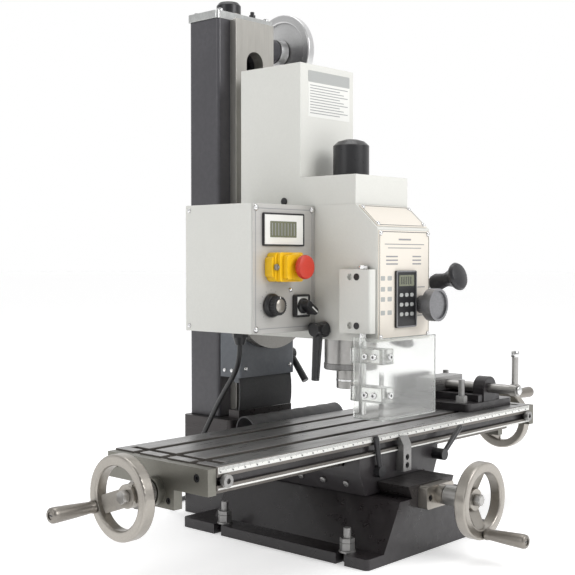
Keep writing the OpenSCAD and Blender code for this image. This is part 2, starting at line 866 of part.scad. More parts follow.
module spindle() {
    color("#8d8b86") {
        difference() {
            union() {
                zrod(0, 0, nose_z, quill_z0 - 0.1, nose_r);
                zrod(0, 0, quill_z0 - 0.2, quill_z1 + 8, 17);
                zrod(0, 0, quill_z1 + 7, 536, 13);
            }
            // collet socket: taper, then a straight bore, then the drawbar's hole
            zrod(0, 0, nose_z - 0.01, nose_z + 24, 15.9, 12.07);
            zrod(0, 0, nose_z + 20, nose_z + 90, 12.07);
            zrod(0, 0, nose_z + 80, 537, 6 + run);
        }
        zrod(0, 0, nose_z + 92, 540, 6);
        hex(0, 0, 536.2, 547, 16);
    }
}

module capstan() {
    color("#9b9b98") {
        difference() {
            union() {
                xrod(-28, 72, pinion_y, pinion_z, 9);
                xrod(-12, 12, pinion_y, pinion_z, 11.6);
                xrod(worm_x - 7, worm_x + 7, pinion_y, pinion_z, 12.6);
            }
            for (i = [0 : 11])
                translate([0, pinion_y, pinion_z]) rotate([i * 30, 0, 0])
                    block([-13, -1.5, 9.4], [13, 1.5, 13]);
        }
        xrod(62, 92, pinion_y, pinion_z, 21);
        for (a = capstan_angles)
            translate([82, pinion_y, pinion_z]) rotate([a, 0, 0]) zrod(0, 0, 15, 46, 5);
    }
}

capstan_angles = [76, 196, 316];
module capstan_knobs() {
    color("#1b1b1d") for (a = capstan_angles)
        translate([82, pinion_y, pinion_z]) rotate([a, 0, 0]) difference() {
            translate([0, 0, 35]) rotate_extrude($fn = 40)
                polygon([
                    [0, 0], [8.5, 0], [11, 3], [12.5, 10], [10, 21], [9.8, 26],
                    [13, 35], [19, 42], [20, 45], [17.5, 48.5], [9, 50.5], [0, 51]
                ]);
            zrod(0, 0, 33, 46.5, 5 + run);
        }
}

module fine_feed_knob() {
    color("#55565a") {
        yrod(worm_x, -62, -30, worm_z, 4.9);
        yrod(worm_x, -106, -61, worm_z, 4.95);
        yrod(worm_x, -105, -93.7, worm_z, 11.5);
        yrod(worm_x, -111, -104, worm_z, 16, 12);
        difference() {
            yrod(worm_x, -125, -111, worm_z, 22.5);
            yrod(worm_x, -126, -122.5, worm_z, 19);
        }
    }
}

module quill_lock_lever() {
    color("#1b1b1d") {
        xrod(-62, -quill_r - 1, -2, 292, 6);
        xrod(-84, -61, -2, 292, 9, 11);
        translate([-74, -2, 292]) rotate([4, 0, 0]) {
            zrod(0, 0, -70, 0, 5.5, 7);
            yrod(0, -13, 13, 2, 6.5);
        }
    }
}

// ---- controls ----

module control_box() {
    color("#d9d9d4") difference() {
        block([box_x0, box_y0, box_z0], [box_x1, box_y1, box_z1]);
        block([box_x0 + 2, box_y0 - 1, box_z0 + 2], [box_x1 - 2, box_y1 - 2, box_z1 - 2]);
        zrod(gland_x, gland_y, box_z0 - 1, box_z0 + 3, 6.5);
    }
}

module control_plate() {
    color("#b9bab8") difference() {
        block([box_x0, plate_y, box_z0], [box_x1, box_y0 - 0.05, box_z1]);
        yrod(speed_x, plate_y - 1, box_y0 + 1, speed_z, 3 + run);
        yrod(range_x, plate_y - 1, box_y0 + 1, range_z, 4 + run);
    }
}

module switch_housing() {
    color("#e8b90c") difference() {
        union() {
            slab_y([-160, plate_y - 20, 358.5], [-106, plate_y - 0.05, 397.5], 4);
            slab_y([-146, plate_y - 27.5, 362], [-107, plate_y - 19, 394], 4);
        }
        yrod(stop_x, plate_y - 31, plate_y - 12, stop_z, 7 + run);
    }
}

module stop_knob() {
    color("#c8281e") {
        yrod(stop_x, plate_y - 34, plate_y - 19, stop_z, 7);
        yrod(stop_x, plate_y - 40, plate_y - 33, stop_z, 16);
        yrod(stop_x, plate_y - 42, plate_y - 40, stop_z, 12, 16);
    }
}

module speed_knob() {
    color("#1b1b1d") {
        yrod(speed_x, plate_y - 6, plate_y + 12, speed_z, 3);
        yrod(speed_x, plate_y - 8, plate_y - 1, speed_z, 14, 16);
        yrod(speed_x, plate_y - 18, plate_y - 8, speed_z, 11, 12.5);
    }
}

module range_switch() {
    color("#1b1b1d") {
        yrod(range_x, plate_y - 9, plate_y + 12, range_z, 4);
        yrod(range_x, plate_y - 11, plate_y - 5.2, range_z, 10);
        translate([range_x, 0, range_z]) rotate([0, 125, 0])
            slab_y([-5, plate_y - 22, -9], [5, plate_y - 10.9, 17], 3);
    }
}

module cord_gland() {
    color("#1b1b1d") difference() {
        union() {
            zrod(gland_x, gland_y, box_z0 - 0.1, box_z0 + 8, 6);
            hex(gland_x, gland_y, box_z0 - 8, box_z0 - 0.1, 20);
            zrod(gland_x, gland_y, box_z0 - 18, box_z0 - 8, 6.5, 9.5);
        }
        zrod(gland_x, gland_y, box_z0 - 19, box_z0 + 9, cord_r + 1);
    }
}

// ---- chip guard ----

module guard_bracket() {
    color("#cfcfca") {
        difference() {
            post([-74, -91, 290], [-head_hw - 0.1, -37, 375], 3);
            zrod(rod_x, rod_y, 289, 376, rod_r + run);
            for (z = [300, 365])
                xrod(-75, -69, -57, z, 4.5);
        }
    }
}

module chip_guard() {
    color("#dfe6e4", 0.4) {
        // rod with its collar
        zrod(rod_x, rod_y, 182, 379, rod_r);
        zrod(rod_x, rod_y, 375.2, 380, 7);
        // two clamps round the rod
        for (z = [202, 252]) difference() {
            block([-86, -119.9, z], [-60, -66, z + 20]);
            zrod(rod_x, rod_y, z - 1, z + 21, rod_r);
        }
        // bent clear sheet
        block([-89, -123, 180], [-86.1, -76, 286]);
        block([-89, -124, 180], [31, -121, 286]);
    }
}

// ---- vise on the table ----

module vise_body() {
    color("#2a2a2e") difference() {
        union() {
            post([vise_x - 64, ty0 + 20, table_top + 0.1], [vise_x + 64, ty1 + 2, 167], 8);
            for (s = [-1, 1])
                block([vise_x + s * 24 - 7, ty0 + 24, 166], [vise_x + s * 24 + 7, ty1, 178]);
            block([vise_x - 44, ty1 - 16, 166], [vise_x + 44, ty1 + 2, 200]);
            yrod(vise_x, ty0 + 22, ty0 + 42, vise_z, 18);
            block([vise_x - 18, ty0 + 22, 166], [vise_x + 18, ty0 + 42, vise_z]);
        }
        yrod(vise_x, ty0 + 21, ty0 + 43, vise_z, 7.5 + run);
        for (p = [[vise_x - 53, ty - slot_pitch], [vise_x + 53, ty + slot_pitch]])
            zrod(p.x, p.y, table_top - 1, 168, 6);
    }
}

module vise_jaw() {
    color("#3b3b40") difference() {
        block([vise_x - 42, 12, 178.2], [vise_x + 42, 44, 200]);
        yrod(vise_x, 11, 24, vise_z, 7.5 + run);
    }
}

module vise_screw() {
    color("#b4b4ae") {
        yrod(vise_x, -108, 22, vise_z, 7.5);
        yrod(vise_x, -116, -104, vise_z, 9.5);
        zrod(vise_x, -110, vise_z + 4, vise_z + 52, 5);
    }
}

// ---- power cord ----

// Direction of the route at point i
function heading(i) =
    let (d = cord_path[min(i + 1, len(cord_path) - 1)] - cord_path[max(i - 1, 0)]) d / norm(d);

// Ring i of the tube: points round the route, square to it
function ring(i) =
    let (t = heading(i), u = cross(t, [1, 0.2, 0]), n = u / norm(u), b = cross(t, n))
    [for (k = [0 : 9]) cord_path[i] + cord_r * (cos(36 * k) * n + sin(36 * k) * b)];

module power_cord() {
    n = len(cord_path);
    color("#161618") polyhedron(
        points = [for (i = [0 : n - 1]) each ring(i)],
        faces = concat(
            [[for (k = [0 : 9]) 9 - k]],
            [for (i = [0 : n - 2], k = [0 : 9])
                [i * 10 + k, i * 10 + (k + 1) % 10, (i + 1) * 10 + (k + 1) % 10]],
            [for (i = [0 : n - 2], k = [0 : 9])
                [i * 10 + k, (i + 1) * 10 + (k + 1) % 10, (i + 1) * 10 + k]],
            [[for (k = [0 : 9]) (n - 1) * 10 + k]]
        )
    );
}

module cord_coil() {
    color("#161618") translate([coil_c.x, coil_c.y, 0]) rotate_extrude()
        translate([coil_in, 0]) square([coil_out - coil_in, coil_h]);
}

module cord_plug() {
    color("#161618") {
        post([252, 303, 0], [286, 333, 24], 5);
        block([286, 312, 8], [304, 317, 14]);
        block([286, 319, 8], [304, 324, 14]);
    }
}

base();
hold_down_studs();
y_screw_bracket();
column();
column_cap();
z_bearing_cap();
z_wheel_bracket();
y_way_cover();
z_way_cover();
power_cord();
cord_coil();
cord_plug();
saddle();
gibs_and_nuts();
stop_block();
table_lock_lever();
saddle_lock_lever();
table();
end_brackets();
table_fasteners();
x_screw();
x_handwheels();
x_grip_left();
x_grip_right();
y_screw();
y_handwheel();
y_grip();
z_screw();
z_handwheel();
z_grip();
z_carriage();
z_nut();
z_lock_lever();
head_casting();
tilt_bolts();
front_panel();
drive_cover();
drawbar_cap();
motor();
motor_pulley();
spindle_pulley();
drive_belt();
control_box();
control_plate();
switch_housing();
stop_knob();
speed_knob();
range_switch();
cord_gland();
quill_lock_lever();
guard_bracket();
chip_guard();
quill();
spindle();
capstan();
capstan_knobs();
fine_feed_knob();
vise_body();
vise_jaw();
vise_screw();
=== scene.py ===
import math

import bmesh
import bpy
from mathutils import Matrix, Vector


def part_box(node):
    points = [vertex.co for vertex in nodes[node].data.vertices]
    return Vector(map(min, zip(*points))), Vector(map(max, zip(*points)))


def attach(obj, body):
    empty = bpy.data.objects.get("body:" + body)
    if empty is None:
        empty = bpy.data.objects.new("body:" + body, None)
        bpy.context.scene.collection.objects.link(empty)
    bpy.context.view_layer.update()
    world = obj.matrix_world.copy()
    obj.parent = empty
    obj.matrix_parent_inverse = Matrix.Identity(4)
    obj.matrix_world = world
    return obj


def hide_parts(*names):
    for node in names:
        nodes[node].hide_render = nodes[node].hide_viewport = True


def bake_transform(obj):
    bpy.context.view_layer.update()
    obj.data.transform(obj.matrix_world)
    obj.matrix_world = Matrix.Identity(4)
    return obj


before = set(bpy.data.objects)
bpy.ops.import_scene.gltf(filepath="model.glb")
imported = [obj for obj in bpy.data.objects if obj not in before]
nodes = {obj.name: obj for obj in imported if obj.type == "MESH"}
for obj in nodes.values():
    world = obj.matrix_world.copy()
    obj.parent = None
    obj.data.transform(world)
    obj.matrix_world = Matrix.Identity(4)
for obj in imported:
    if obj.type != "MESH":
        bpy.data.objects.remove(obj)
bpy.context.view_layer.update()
MM = 0.001

# ---- camera ----

camera_data = bpy.data.cameras.new("camera")
camera_data.lens = 67.28
camera_data.sensor_width = 36.0
camera = bpy.data.objects.new("camera", camera_data)
camera.location = (-1.1901, -0.9554, 0.390)
camera.rotation_euler = (math.radians(90 - 1.571), 0, math.radians(-47.862))
bpy.context.scene.collection.objects.link(camera)
bpy.context.scene.camera = camera

# ---- driving dimensions, in mm ----

TABLE_HALF = 350
TABLE_Y = 2
TABLE_FRONT = -88
HEAD_FRONT = -92
PLATE_Y = 17
SCREW_Z = 117
WHEEL_X = 413.5
WHEEL_R = 50
LIFT = (126, 245, 726)
CORD_R = 3.5


# ---- shading ----


def node(tree, kind, **inputs):
    """A shader node with some of its sockets set."""
    made = tree.nodes.new(kind)
    for key, value in inputs.items():
        made.inputs[key.replace("_", " ")].default_value = value
    return made


def noise(tree, coords, scale, detail=4.0, rough=0.55):
    """A noise texture on the given coordinates."""
    made = node(tree, "ShaderNodeTexNoise", Scale=scale, Detail=detail, Roughness=rough)
    tree.links.new(coords, made.inputs["Vector"])
    return made.outputs["Fac"]


def span(tree, value, low, high, start=0.3, end=0.7):
    """A value taken from start..end to low..high."""
    made = tree.nodes.new("ShaderNodeMapRange")
    for index, number in zip((1, 2, 3, 4), (start, end, low, high)):
        made.inputs[index].default_value = number
    tree.links.new(value, made.inputs[0])
    return made.outputs[0]


def blend_color(tree, factor, a, b):
    """Two colours, or a socket and a colour, mixed by a factor socket."""
    made = tree.nodes.new("ShaderNodeMix")
    made.data_type = "RGBA"
    tree.links.new(factor, made.inputs[0])
    for socket, value in ((made.inputs[6], a), (made.inputs[7], b)):
        if isinstance(value, tuple):
            socket.default_value = (*value, 1.0)
        else:
            tree.links.new(value, socket)
    return made.outputs[2]


def shade(color, factor):
    """A colour made lighter or darker."""
    return tuple(min(1.0, c * factor) for c in color)


def layer(
    tree, color, rough, metal=0.0, tint=0.06, cloud=9.0, spread=0.08, grain=700.0, depth=0.03,
    stretch=(1, 1, 1), dirt=0.35, coat=0.0, dust=0.0, rings=0.0, clear=0.0, speck=0.0,
):
    """One surface: clouded colour, painted shade in the corners, uneven gloss and a fine relief depth mm deep."""
    place = tree.nodes.new("ShaderNodeTexCoord").outputs["Object"]
    mapping = node(tree, "ShaderNodeMapping", Scale=stretch)
    tree.links.new(place, mapping.inputs["Vector"])
    along = mapping.outputs["Vector"]
    made = node(tree, "ShaderNodeBsdfPrincipled", Metallic=metal, Coat_Weight=coat)
    made.inputs["Coat Roughness"].default_value = 0.12
    made.inputs["Transmission Weight"].default_value = clear
    paint = blend_color(
        tree, span(tree, noise(tree, place, cloud), 0, 1), shade(color, 1 - tint), shade(color, 1 + tint)
    )
    streaks = span(tree, noise(tree, along, grain * 0.35, 3), 0, 1)
    paint = blend_color(tree, span(tree, streaks, 0, 0.5), paint, shade(color, 1 - 1.6 * tint))
    if speck:
        spots = span(tree, noise(tree, place, 900, 2), 0, speck, 0.62, 0.7)
        paint = blend_color(tree, spots, paint, shade(color, 2.2))
    if dust:
        up = tree.nodes.new("ShaderNodeSeparateXYZ")
        tree.links.new(tree.nodes.new("ShaderNodeNewGeometry").outputs["Normal"], up.inputs[0])
        mixed = tree.nodes.new("ShaderNodeMath")
        mixed.operation = "MULTIPLY"
        tree.links.new(span(tree, up.outputs["Z"], 0, dust, 0.2, 1.0), mixed.inputs[0])
        tree.links.new(span(tree, noise(tree, place, 40), 0.3, 1), mixed.inputs[1])
        paint = blend_color(tree, mixed.outputs[0], paint, (0.42, 0.4, 0.37))
    # painted shade: the colour darkens towards a third of itself where ambient occlusion finds corners and recesses
    if dirt:
        corner = node(tree, "ShaderNodeAmbientOcclusion", Distance=0.006)
        corner.samples = 4
        paint = blend_color(tree, span(tree, corner.outputs["AO"], dirt, 0, 0.25, 0.85), paint, shade(color, 0.3))
    tree.links.new(paint, made.inputs["Base Color"])
    gloss = span(tree, noise(tree, along, grain * 0.2, 5, 0.65), rough - spread, rough + spread)
    tree.links.new(gloss, made.inputs["Roughness"])
    relief = noise(tree, along, grain, 4)
    if rings:
        wave = node(tree, "ShaderNodeTexWave", Scale=rings, Distortion=0.6)
        wave.wave_type = "RINGS"
        wave.rings_direction = "Z"
        tree.links.new(place, wave.inputs["Vector"])
        mixed = tree.nodes.new("ShaderNodeMath")
        tree.links.new(relief, mixed.inputs[0])
        tree.links.new(wave.outputs["Fac"], mixed.inputs[1])
        relief = mixed.outputs[0]
    bump = node(tree, "ShaderNodeBump", Strength=1.0, Distance=depth * MM)
    tree.links.new(relief, bump.inputs["Height"])
    tree.links.new(bump.outputs["Normal"], made.inputs["Normal"])
    return made.outputs["BSDF"]


def material(name, **look):
    """A material of one surface."""
    made = bpy.data.materials.new(name)
    made.use_nodes = True
    tree = made.node_tree
    tree.nodes.clear()
    out = tree.nodes.new("ShaderNodeOutputMaterial")
    tree.links.new(layer(tree, **look), out.inputs["Surface"])
    return made


def two_tone(name, first, second, axis, limit, below=True):
    """A material that is second where the coordinate along axis is below (or above) limit, in mm."""
    made = material(name, **first)
    tree = made.node_tree
    out = next(n for n in tree.nodes if n.type == "OUTPUT_MATERIAL")
    base = out.inputs["Surface"].links[0].from_socket
    other = layer(tree, **second)
    split = tree.nodes.new("ShaderNodeSeparateXYZ")
    tree.links.new(tree.nodes.new("ShaderNodeTexCoord").outputs["Object"], split.inputs[0])
    test = tree.nodes.new("ShaderNodeMath")
    test.operation = "LESS_THAN" if below else "GREATER_THAN"
    tree.links.new(split.outputs[axis], test.inputs[0])
    test.inputs[1].default_value = limit * MM
    mix = tree.nodes.new("ShaderNodeMixShader")
    tree.links.new(test.outputs[0], mix.inputs[0])
    tree.links.new(base, mix.inputs[1])
    tree.links.new(other, mix.inputs[2])
    tree.links.new(mix.outputs[0], out.inputs["Surface"])
    return made


IRON_BLACK = dict(
    color=(0.012, 0.009, 0.011), rough=0.35, tint=0.2, grain=420, depth=0.05, coat=0.2, dust=0.03, spread=0.12,
)
IRON_BLUE = dict(color=(0.10, 0.11, 0.125), rough=0.42, tint=0.12, grain=420, depth=0.06, coat=0.2, dust=0.05)
IRON_GREY = {**IRON_BLUE, "color": (0.062, 0.06, 0.068)}
IRON_WARM = {**IRON_BLUE, "color": (0.024, 0.021, 0.023), "dust": 0.03}
CREAM = dict(color=(0.71, 0.71, 0.672), rough=0.36, tint=0.02, grain=850, depth=0.02, coat=0.2, dirt=0.3, spread=0.06)
GROUND = dict(
    color=(0.30, 0.295, 0.29), rough=0.34, metal=0.85, tint=0.12, grain=900, depth=0.02, stretch=(0.06, 1, 1),
    dirt=0.7, spread=0.12, cloud=14,
)
MILLED = dict(
    color=(0.5, 0.485, 0.45), rough=0.36, metal=0.7, tint=0.08, grain=900, depth=0.03, stretch=(1, 1, 0.08), dirt=0.5,
)
SATIN = dict(
    color=(0.4, 0.375, 0.34), rough=0.33, metal=0.95, tint=0.06, grain=1300, depth=0.01, dirt=0.5, spread=0.05,
)
STEEL = dict(
    color=(0.46, 0.45, 0.435), rough=0.32, metal=0.95, tint=0.06, cloud=30, grain=500, depth=0.002, dirt=0.5,
    spread=0.02,
)
DULL = dict(color=(0.33, 0.325, 0.32), rough=0.42, metal=0.8, tint=0.12, grain=1100, depth=0.05, dirt=0.6)
BLACK = dict(color=(0.018, 0.018, 0.02), rough=0.34, tint=0.12, grain=1100, depth=0.03, dust=0.06, dirt=0.3)
LABEL = dict(color=(0.8, 0.8, 0.77), rough=0.4, tint=0.015, grain=1500, depth=0.008, dirt=0.2)
PLATE = {**LABEL, "color": (0.8, 0.745, 0.665)}
RUBBER = dict(color=(0.045, 0.045, 0.047), rough=0.55, tint=0.15, grain=1200, depth=0.08, dust=0.1)
GLASS_SCREEN = dict(color=(0.16, 0.17, 0.11), rough=0.2, tint=0.08, grain=300, depth=0.004, coat=0.6)
OILED = {**GROUND, "color": (0.055, 0.05, 0.05), "metal": 0.6, "stretch": (1, 0.06, 1)}
TABLE_SIDES = {**GROUND, "color": (0.2, 0.185, 0.17), "rough": 0.45}
TURNED = {**MILLED, "color": (0.33, 0.32, 0.3), "stretch": (1, 1, 1)}

MAT = {
    "black_iron": material("black_iron", **IRON_BLACK),
    "blue_iron": material("blue_iron", **IRON_BLUE),
    "cream": material("cream", **CREAM),
    "ground": material("ground", **GROUND),
    "satin": material("satin", **SATIN),
    "satin_turned": material("satin_turned", **{**SATIN, "rings": 900.0, "depth": 0.02}),
    "steel": material("steel", **STEEL),
    "chrome": material("chrome", **{**STEEL, "color": (0.75, 0.75, 0.75), "rough": 0.2, "spread": 0.02}),
    "dull": material("dull", **DULL),
    "black": material("black", **BLACK),
    "dark_knob": material("dark_knob", **{**DULL, "color": (0.27, 0.27, 0.28), "rough": 0.36}),
    "saddle": material("saddle", **IRON_WARM),
    "bright": material("bright", **{**SATIN, "color": (0.66, 0.66, 0.66)}),
    "bronze": material("bronze", **{**STEEL, "color": (0.55, 0.36, 0.16)}),
    "rubber": material("rubber", **RUBBER),
    "yellow": material("yellow", color=(0.86, 0.52, 0.01), rough=0.33, tint=0.03, grain=1100, depth=0.02, dirt=0.4),
    "red": material("red", color=(0.53, 0.034, 0.014), rough=0.45, tint=0.05, grain=1300, depth=0.02),
    "brushed": material(
        "brushed", color=(0.56, 0.55, 0.53), rough=0.42, metal=0.45, tint=0.03, grain=1600, depth=0.015,
        stretch=(0.05, 1, 1), dirt=0.3,
    ),
    "galvanised": material("galvanised", **{**SATIN, "color": (0.6, 0.61, 0.6), "cloud": 60.0, "tint": 0.12}),
    "label": material("label", **LABEL),
    "ink": material("ink", **{**LABEL, "color": (0.06, 0.06, 0.065)}),
    "grey_ink": material("grey_ink", **{**LABEL, "color": (0.3, 0.3, 0.31)}),
    "key_grey": material("key_grey", **{**LABEL, "color": (0.42, 0.43, 0.42)}),
    "screen": material("screen", **GLASS_SCREEN),
    "screen_dark": material("screen_dark", **{**GLASS_SCREEN, "color": (0.06, 0.065, 0.045)}),
    "clear": material(
        "clear", color=(0.93, 0.94, 0.92), rough=0.08, tint=0.03, cloud=25, grain=40, depth=0.01, dirt=0.0, clear=0.9,
        spread=0.04,
    ),
    "bracket": material("bracket", **{**SATIN, "color": (0.22, 0.215, 0.19), "rough": 0.42}),
    "grip": material("grip", **{**SATIN, "color": (0.27, 0.25, 0.225), "rough": 0.38}),
    "edge": material(
        "edge", color=(0.8, 0.83, 0.81), rough=0.3, tint=0.03, grain=300, depth=0.01, dirt=0.0, clear=0.35,
    ),
    "cord": material("cord", color=(0.012, 0.012, 0.013), rough=0.42, tint=0.2, grain=1500, depth=0.03, dirt=0.0),
    "column": two_tone("column", IRON_GREY, MILLED, "Y", 206.8),
    "base": two_tone("base", IRON_BLACK, OILED, "Z", 75.6, below=False),
    "table": two_tone("table", TABLE_SIDES, GROUND, "Z", 154.6, below=False),
    "head": two_tone("head", CREAM, TURNED, "Y", 145.8, below=False),
    "panel": two_tone("panel", PLATE, BLACK, "Y", HEAD_FRONT - 1.62),
}

NODE_LOOK = {
    "base": "base", "hold_down_studs": "dull", "y_screw_bracket": "satin", "column": "column",
    "column_cap": "galvanised", "z_bearing_cap": "black", "z_wheel_bracket": "column",
    "saddle": "saddle", "gibs_and_nuts": "bronze", "stop_block": "dull", "table_lock_lever": "black",
    "saddle_lock_lever": "black", "table": "table", "end_brackets": "bracket", "table_fasteners": "dull",
    "x_screw": "steel", "x_handwheels": "satin", "x_grip_left": "steel", "x_grip_right": "steel",
    "y_screw": "steel", "y_handwheel": "satin", "y_grip": "steel", "z_screw": "steel",
    "z_handwheel": "bright", "z_grip": "steel", "z_carriage": "blue_iron", "z_nut": "bronze",
    "z_lock_lever": "black", "head_casting": "head", "tilt_bolts": "steel", "front_panel": "panel",
    "drive_cover": "cream", "drawbar_cap": "black", "motor": "black_iron", "motor_pulley": "dull",
    "spindle_pulley": "dull", "drive_belt": "rubber", "control_box": "cream", "control_plate": "brushed",
    "cord_gland": "black", "quill_lock_lever": "black", "guard_bracket": "cream", "quill": "steel",
    "spindle": "steel", "capstan": "steel", "capstan_knobs": "black", "fine_feed_knob": "dark_knob",
    "vise_body": "black_iron", "vise_jaw": "ground", "vise_screw": "steel",
}
CAD_BEVEL = {"base": 1.6, "saddle": 1.4, "table": 0.6, "head_casting": 2.2, "drive_cover": 1.6, "control_box": 1.2,
             "z_carriage": 1.4, "column": 1.0, "control_plate": 0.4, "front_panel": 0.4}


def soften(obj, width, segments=2, angle=35):
    """Rounds the edges by width mm, with smooth shading over them."""
    weld = obj.modifiers.new("weld", "WELD")
    weld.merge_threshold = 0.00001
    flat = obj.modifiers.new("flat", "DECIMATE")
    flat.decimate_type = "DISSOLVE"
    flat.angle_limit = math.radians(1)
    bevel = obj.modifiers.new("bevel", "BEVEL")
    bevel.width = width * MM
    bevel.segments = segments
    bevel.limit_method = "ANGLE"
    bevel.angle_limit = math.radians(angle)
    obj.modifiers.new("normals", "WEIGHTED_NORMAL")
    for face in obj.data.polygons:
        face.use_smooth = True


for name, look in NODE_LOOK.items():
    part = nodes[name]
    part.data.materials.clear()
    part.data.materials.append(MAT[look])
    soften(part, CAD_BEVEL.get(name, 0.5))

# ---- building ----


def facing(at, direction, up=(0, 0, 1)):
    """The frame at a point in mm whose Z points along direction and whose Y points up."""
    z = Vector(direction).normalized()
    x = Vector(up).cross(z).normalized()
    y = z.cross(x)
    made = Matrix((x, y, z)).transposed().to_4x4()
    made.translation = Vector(at)
    return made


IDENTITY = Matrix.Identity(4)
FRONT = (0, -1, 0)
LEFT = (-1, 0, 0)
RIGHT = (1, 0, 0)
UP = (0, 0, 1)


class Shape:
    """Parts of one piece, gathered in mm."""

    def __init__(self):
        self.mesh = bmesh.new()

    def add(self, points, faces, place=IDENTITY):
        made = [self.mesh.verts.new(place @ Vector(p)) for p in points]
        for face in faces:
            self.mesh.faces.new([made[i] for i in face])
        return self

    def turn(self, profile, place=IDENTITY, sides=48):
        """A profile of (radius, height) turned round Z; it starts and ends on the axis or closes on itself."""
        points, rows = [], []
        for radius, height in profile:
            if radius < 1e-6:
                rows.append([len(points)])
                points.append((0, 0, height))
                continue
            rows.append(list(range(len(points), len(points) + sides)))
            for i in range(sides):
                a = 2 * math.pi * i / sides
                points.append((radius * math.cos(a), radius * math.sin(a), height))
        if len(rows[0]) > 1:
            rows.append(rows[0])
        faces = []
        for low, high in zip(rows, rows[1:]):
            for i in range(sides):
                j = (i + 1) % sides
                a, b = low[i % len(low)], low[j % len(low)]
                c, d = high[j % len(high)], high[i % len(high)]
                corner = list(dict.fromkeys((a, b, c, d)))
                if len(corner) > 2:
                    faces.append(corner)
        return self.add(points, faces, place)

    def prism(self, outline, low, high, place=IDENTITY):
        """An outline in X and Y, anticlockwise, from height low to high."""
        n = len(outline)
        points = [(x, y, low) for x, y in outline] + [(x, y, high) for x, y in outline]
        faces = [list(range(n))[::-1], list(range(n, 2 * n))]
        faces += [[i, (i + 1) % n, n + (i + 1) % n, n + i] for i in range(n)]
        return self.add(points, faces, place)

    def block(self, low, high, place=IDENTITY, radius=0.0):
        """A block between two corners, its edges along Z rounded to radius."""
        return self.prism(rounded(low[0], low[1], high[0], high[1], radius), low[2], high[2], place)

    def frame(self, x0, y0, x1, y1, width, low, high, place=IDENTITY, radius=3.0):
        """A flat rounded frame of the given line width."""
        outer = rounded(x0, y0, x1, y1, radius)
        inner = rounded(x0 + width, y0 + width, x1 - width, y1 - width, max(radius - width, 0.3))
        n = len(outer)
        points = [(x, y, h) for h in (low, high) for x, y in outer + inner]
        faces = []
        for i in range(n):
            j = (i + 1) % n
            faces += [
                [i, j, 2 * n + j, 2 * n + i],
                [n + j, n + i, 3 * n + i, 3 * n + j],
                [2 * n + i, 2 * n + j, 3 * n + j, 3 * n + i],
                [j, i, n + i, n + j],
            ]
        return self.add(points, faces, place)

    def tube(self, path, radius, sides=14):
        """A round tube along a path, with closed ends; radius may be a list."""
        path = [Vector(p) for p in path]
        radii = radius if isinstance(radius, list) else [radius] * len(path)
        side = Vector((0.13, 0.21, 0.97))
        rings = []
        for i, p in enumerate(path):
            along = (path[min(i + 1, len(path) - 1)] - path[max(i - 1, 0)]).normalized()
            side = (side - along * side.dot(along)).normalized()
            other = along.cross(side)
            ring = []
            for k in range(sides):
                a = 2 * math.pi * k / sides
                ring.append(self.mesh.verts.new(p + radii[i] * (math.cos(a) * side + math.sin(a) * other)))
            rings.append(ring)
        for low, high in zip(rings, rings[1:]):
            for k in range(sides):
                m = (k + 1) % sides
                self.mesh.faces.new([low[k], low[m], high[m], high[k]])
        self.mesh.faces.new(rings[0][::-1])
        self.mesh.faces.new(rings[-1])
        return self

    def done(self, name, look, body, slot, bevel=0.0, hides=(), smooth=40, origin=None, keep_free=False):
        """The gathered parts as one piece that rides on body."""
        bmesh.ops.recalc_face_normals(self.mesh, faces=self.mesh.faces)
        data = bpy.data.meshes.new(name)
        self.mesh.to_mesh(data)
        self.mesh.free()
        shift = Vector(origin) if origin else Vector((0, 0, 0))
        data.transform(Matrix.Scale(MM, 4) @ Matrix.Translation(-shift))
        obj = bpy.data.objects.new(name, data)
        obj.location = shift * MM
        bpy.context.scene.collection.objects.link(obj)
        data.materials.append(MAT[look])
        for face in data.polygons:
            face.use_smooth = True
        data.set_sharp_from_angle(angle=math.radians(smooth))
        if bevel:
            soften(obj, bevel, 2, smooth)
        if not keep_free:
            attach(obj, body)
        if hides:
            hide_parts(*hides)
        return obj


def rounded(x0, y0, x1, y1, radius):
    """A rectangle's outline with rounded corners."""
    if radius <= 0:
        return [(x0, y0), (x1, y0), (x1, y1), (x0, y1)]
    made = []
    corners = ((x1 - radius, y0 + radius, -90), (x1 - radius, y1 - radius, 0), (x0 + radius, y1 - radius, 90),
               (x0 + radius, y0 + radius, 180))
    for cx, cy, start in corners:
        for i in range(6):
            a = math.radians(start + 18 * i)
            made.append((cx + radius * math.cos(a), cy + radius * math.sin(a)))
    return made


def dome(radius, height):
    """The profile of a domed screw head."""
    return [(0, 0), (radius, 0), (radius, height * 0.3), (radius * 0.8, height * 0.75), (radius * 0.45, height * 0.96),
            (0, height)]


def socket_head(shape, place, radius, height, depth=2.2):
    """A cap screw's head with its hexagon socket."""
    inner = radius * 0.5
    shape.turn(
        [(inner, height - depth), (inner, height), (radius - 0.5, height), (radius, height - 0.6), (radius, 0), (0, 0),
         (0, height - depth)],
        place, 24,
    )


def hexagon(across):
    """A hexagon's outline by its width across flats."""
    r = across / math.sqrt(3)
    return [(r * math.cos(math.radians(60 * i)), r * math.sin(math.radians(60 * i))) for i in range(6)]


# ---- power cord ----

CORD_DROP = [
    (-150, 73, 272), (-150, 74, 258), (-148, 80, 242), (-143, 94, 226), (-136, 114, 208), (-127, 138, 186),
    (-118, 163, 160), (-112, 186, 132), (-108, 208, 104), (-104, 230, 76), (-99, 252, 50), (-90, 274, 28),
    (-76, 294, 12), (-56, 310, 5), (-30, 322, 3.5), (0, 328, 3.5), (34, 328, 3.5), (68, 322, 3.5),
    (100, 314, 3.5), (128, 305, 3.5), (152, 301.5, 3.5), (175, 301.5, 3.5),
]
JOIN = 5
COIL_AT = (175, 340)
COIL_R = 38.5
COIL_TURNS = 3
COIL_PITCH = 7.4
PLUG = (252, 318, 12)


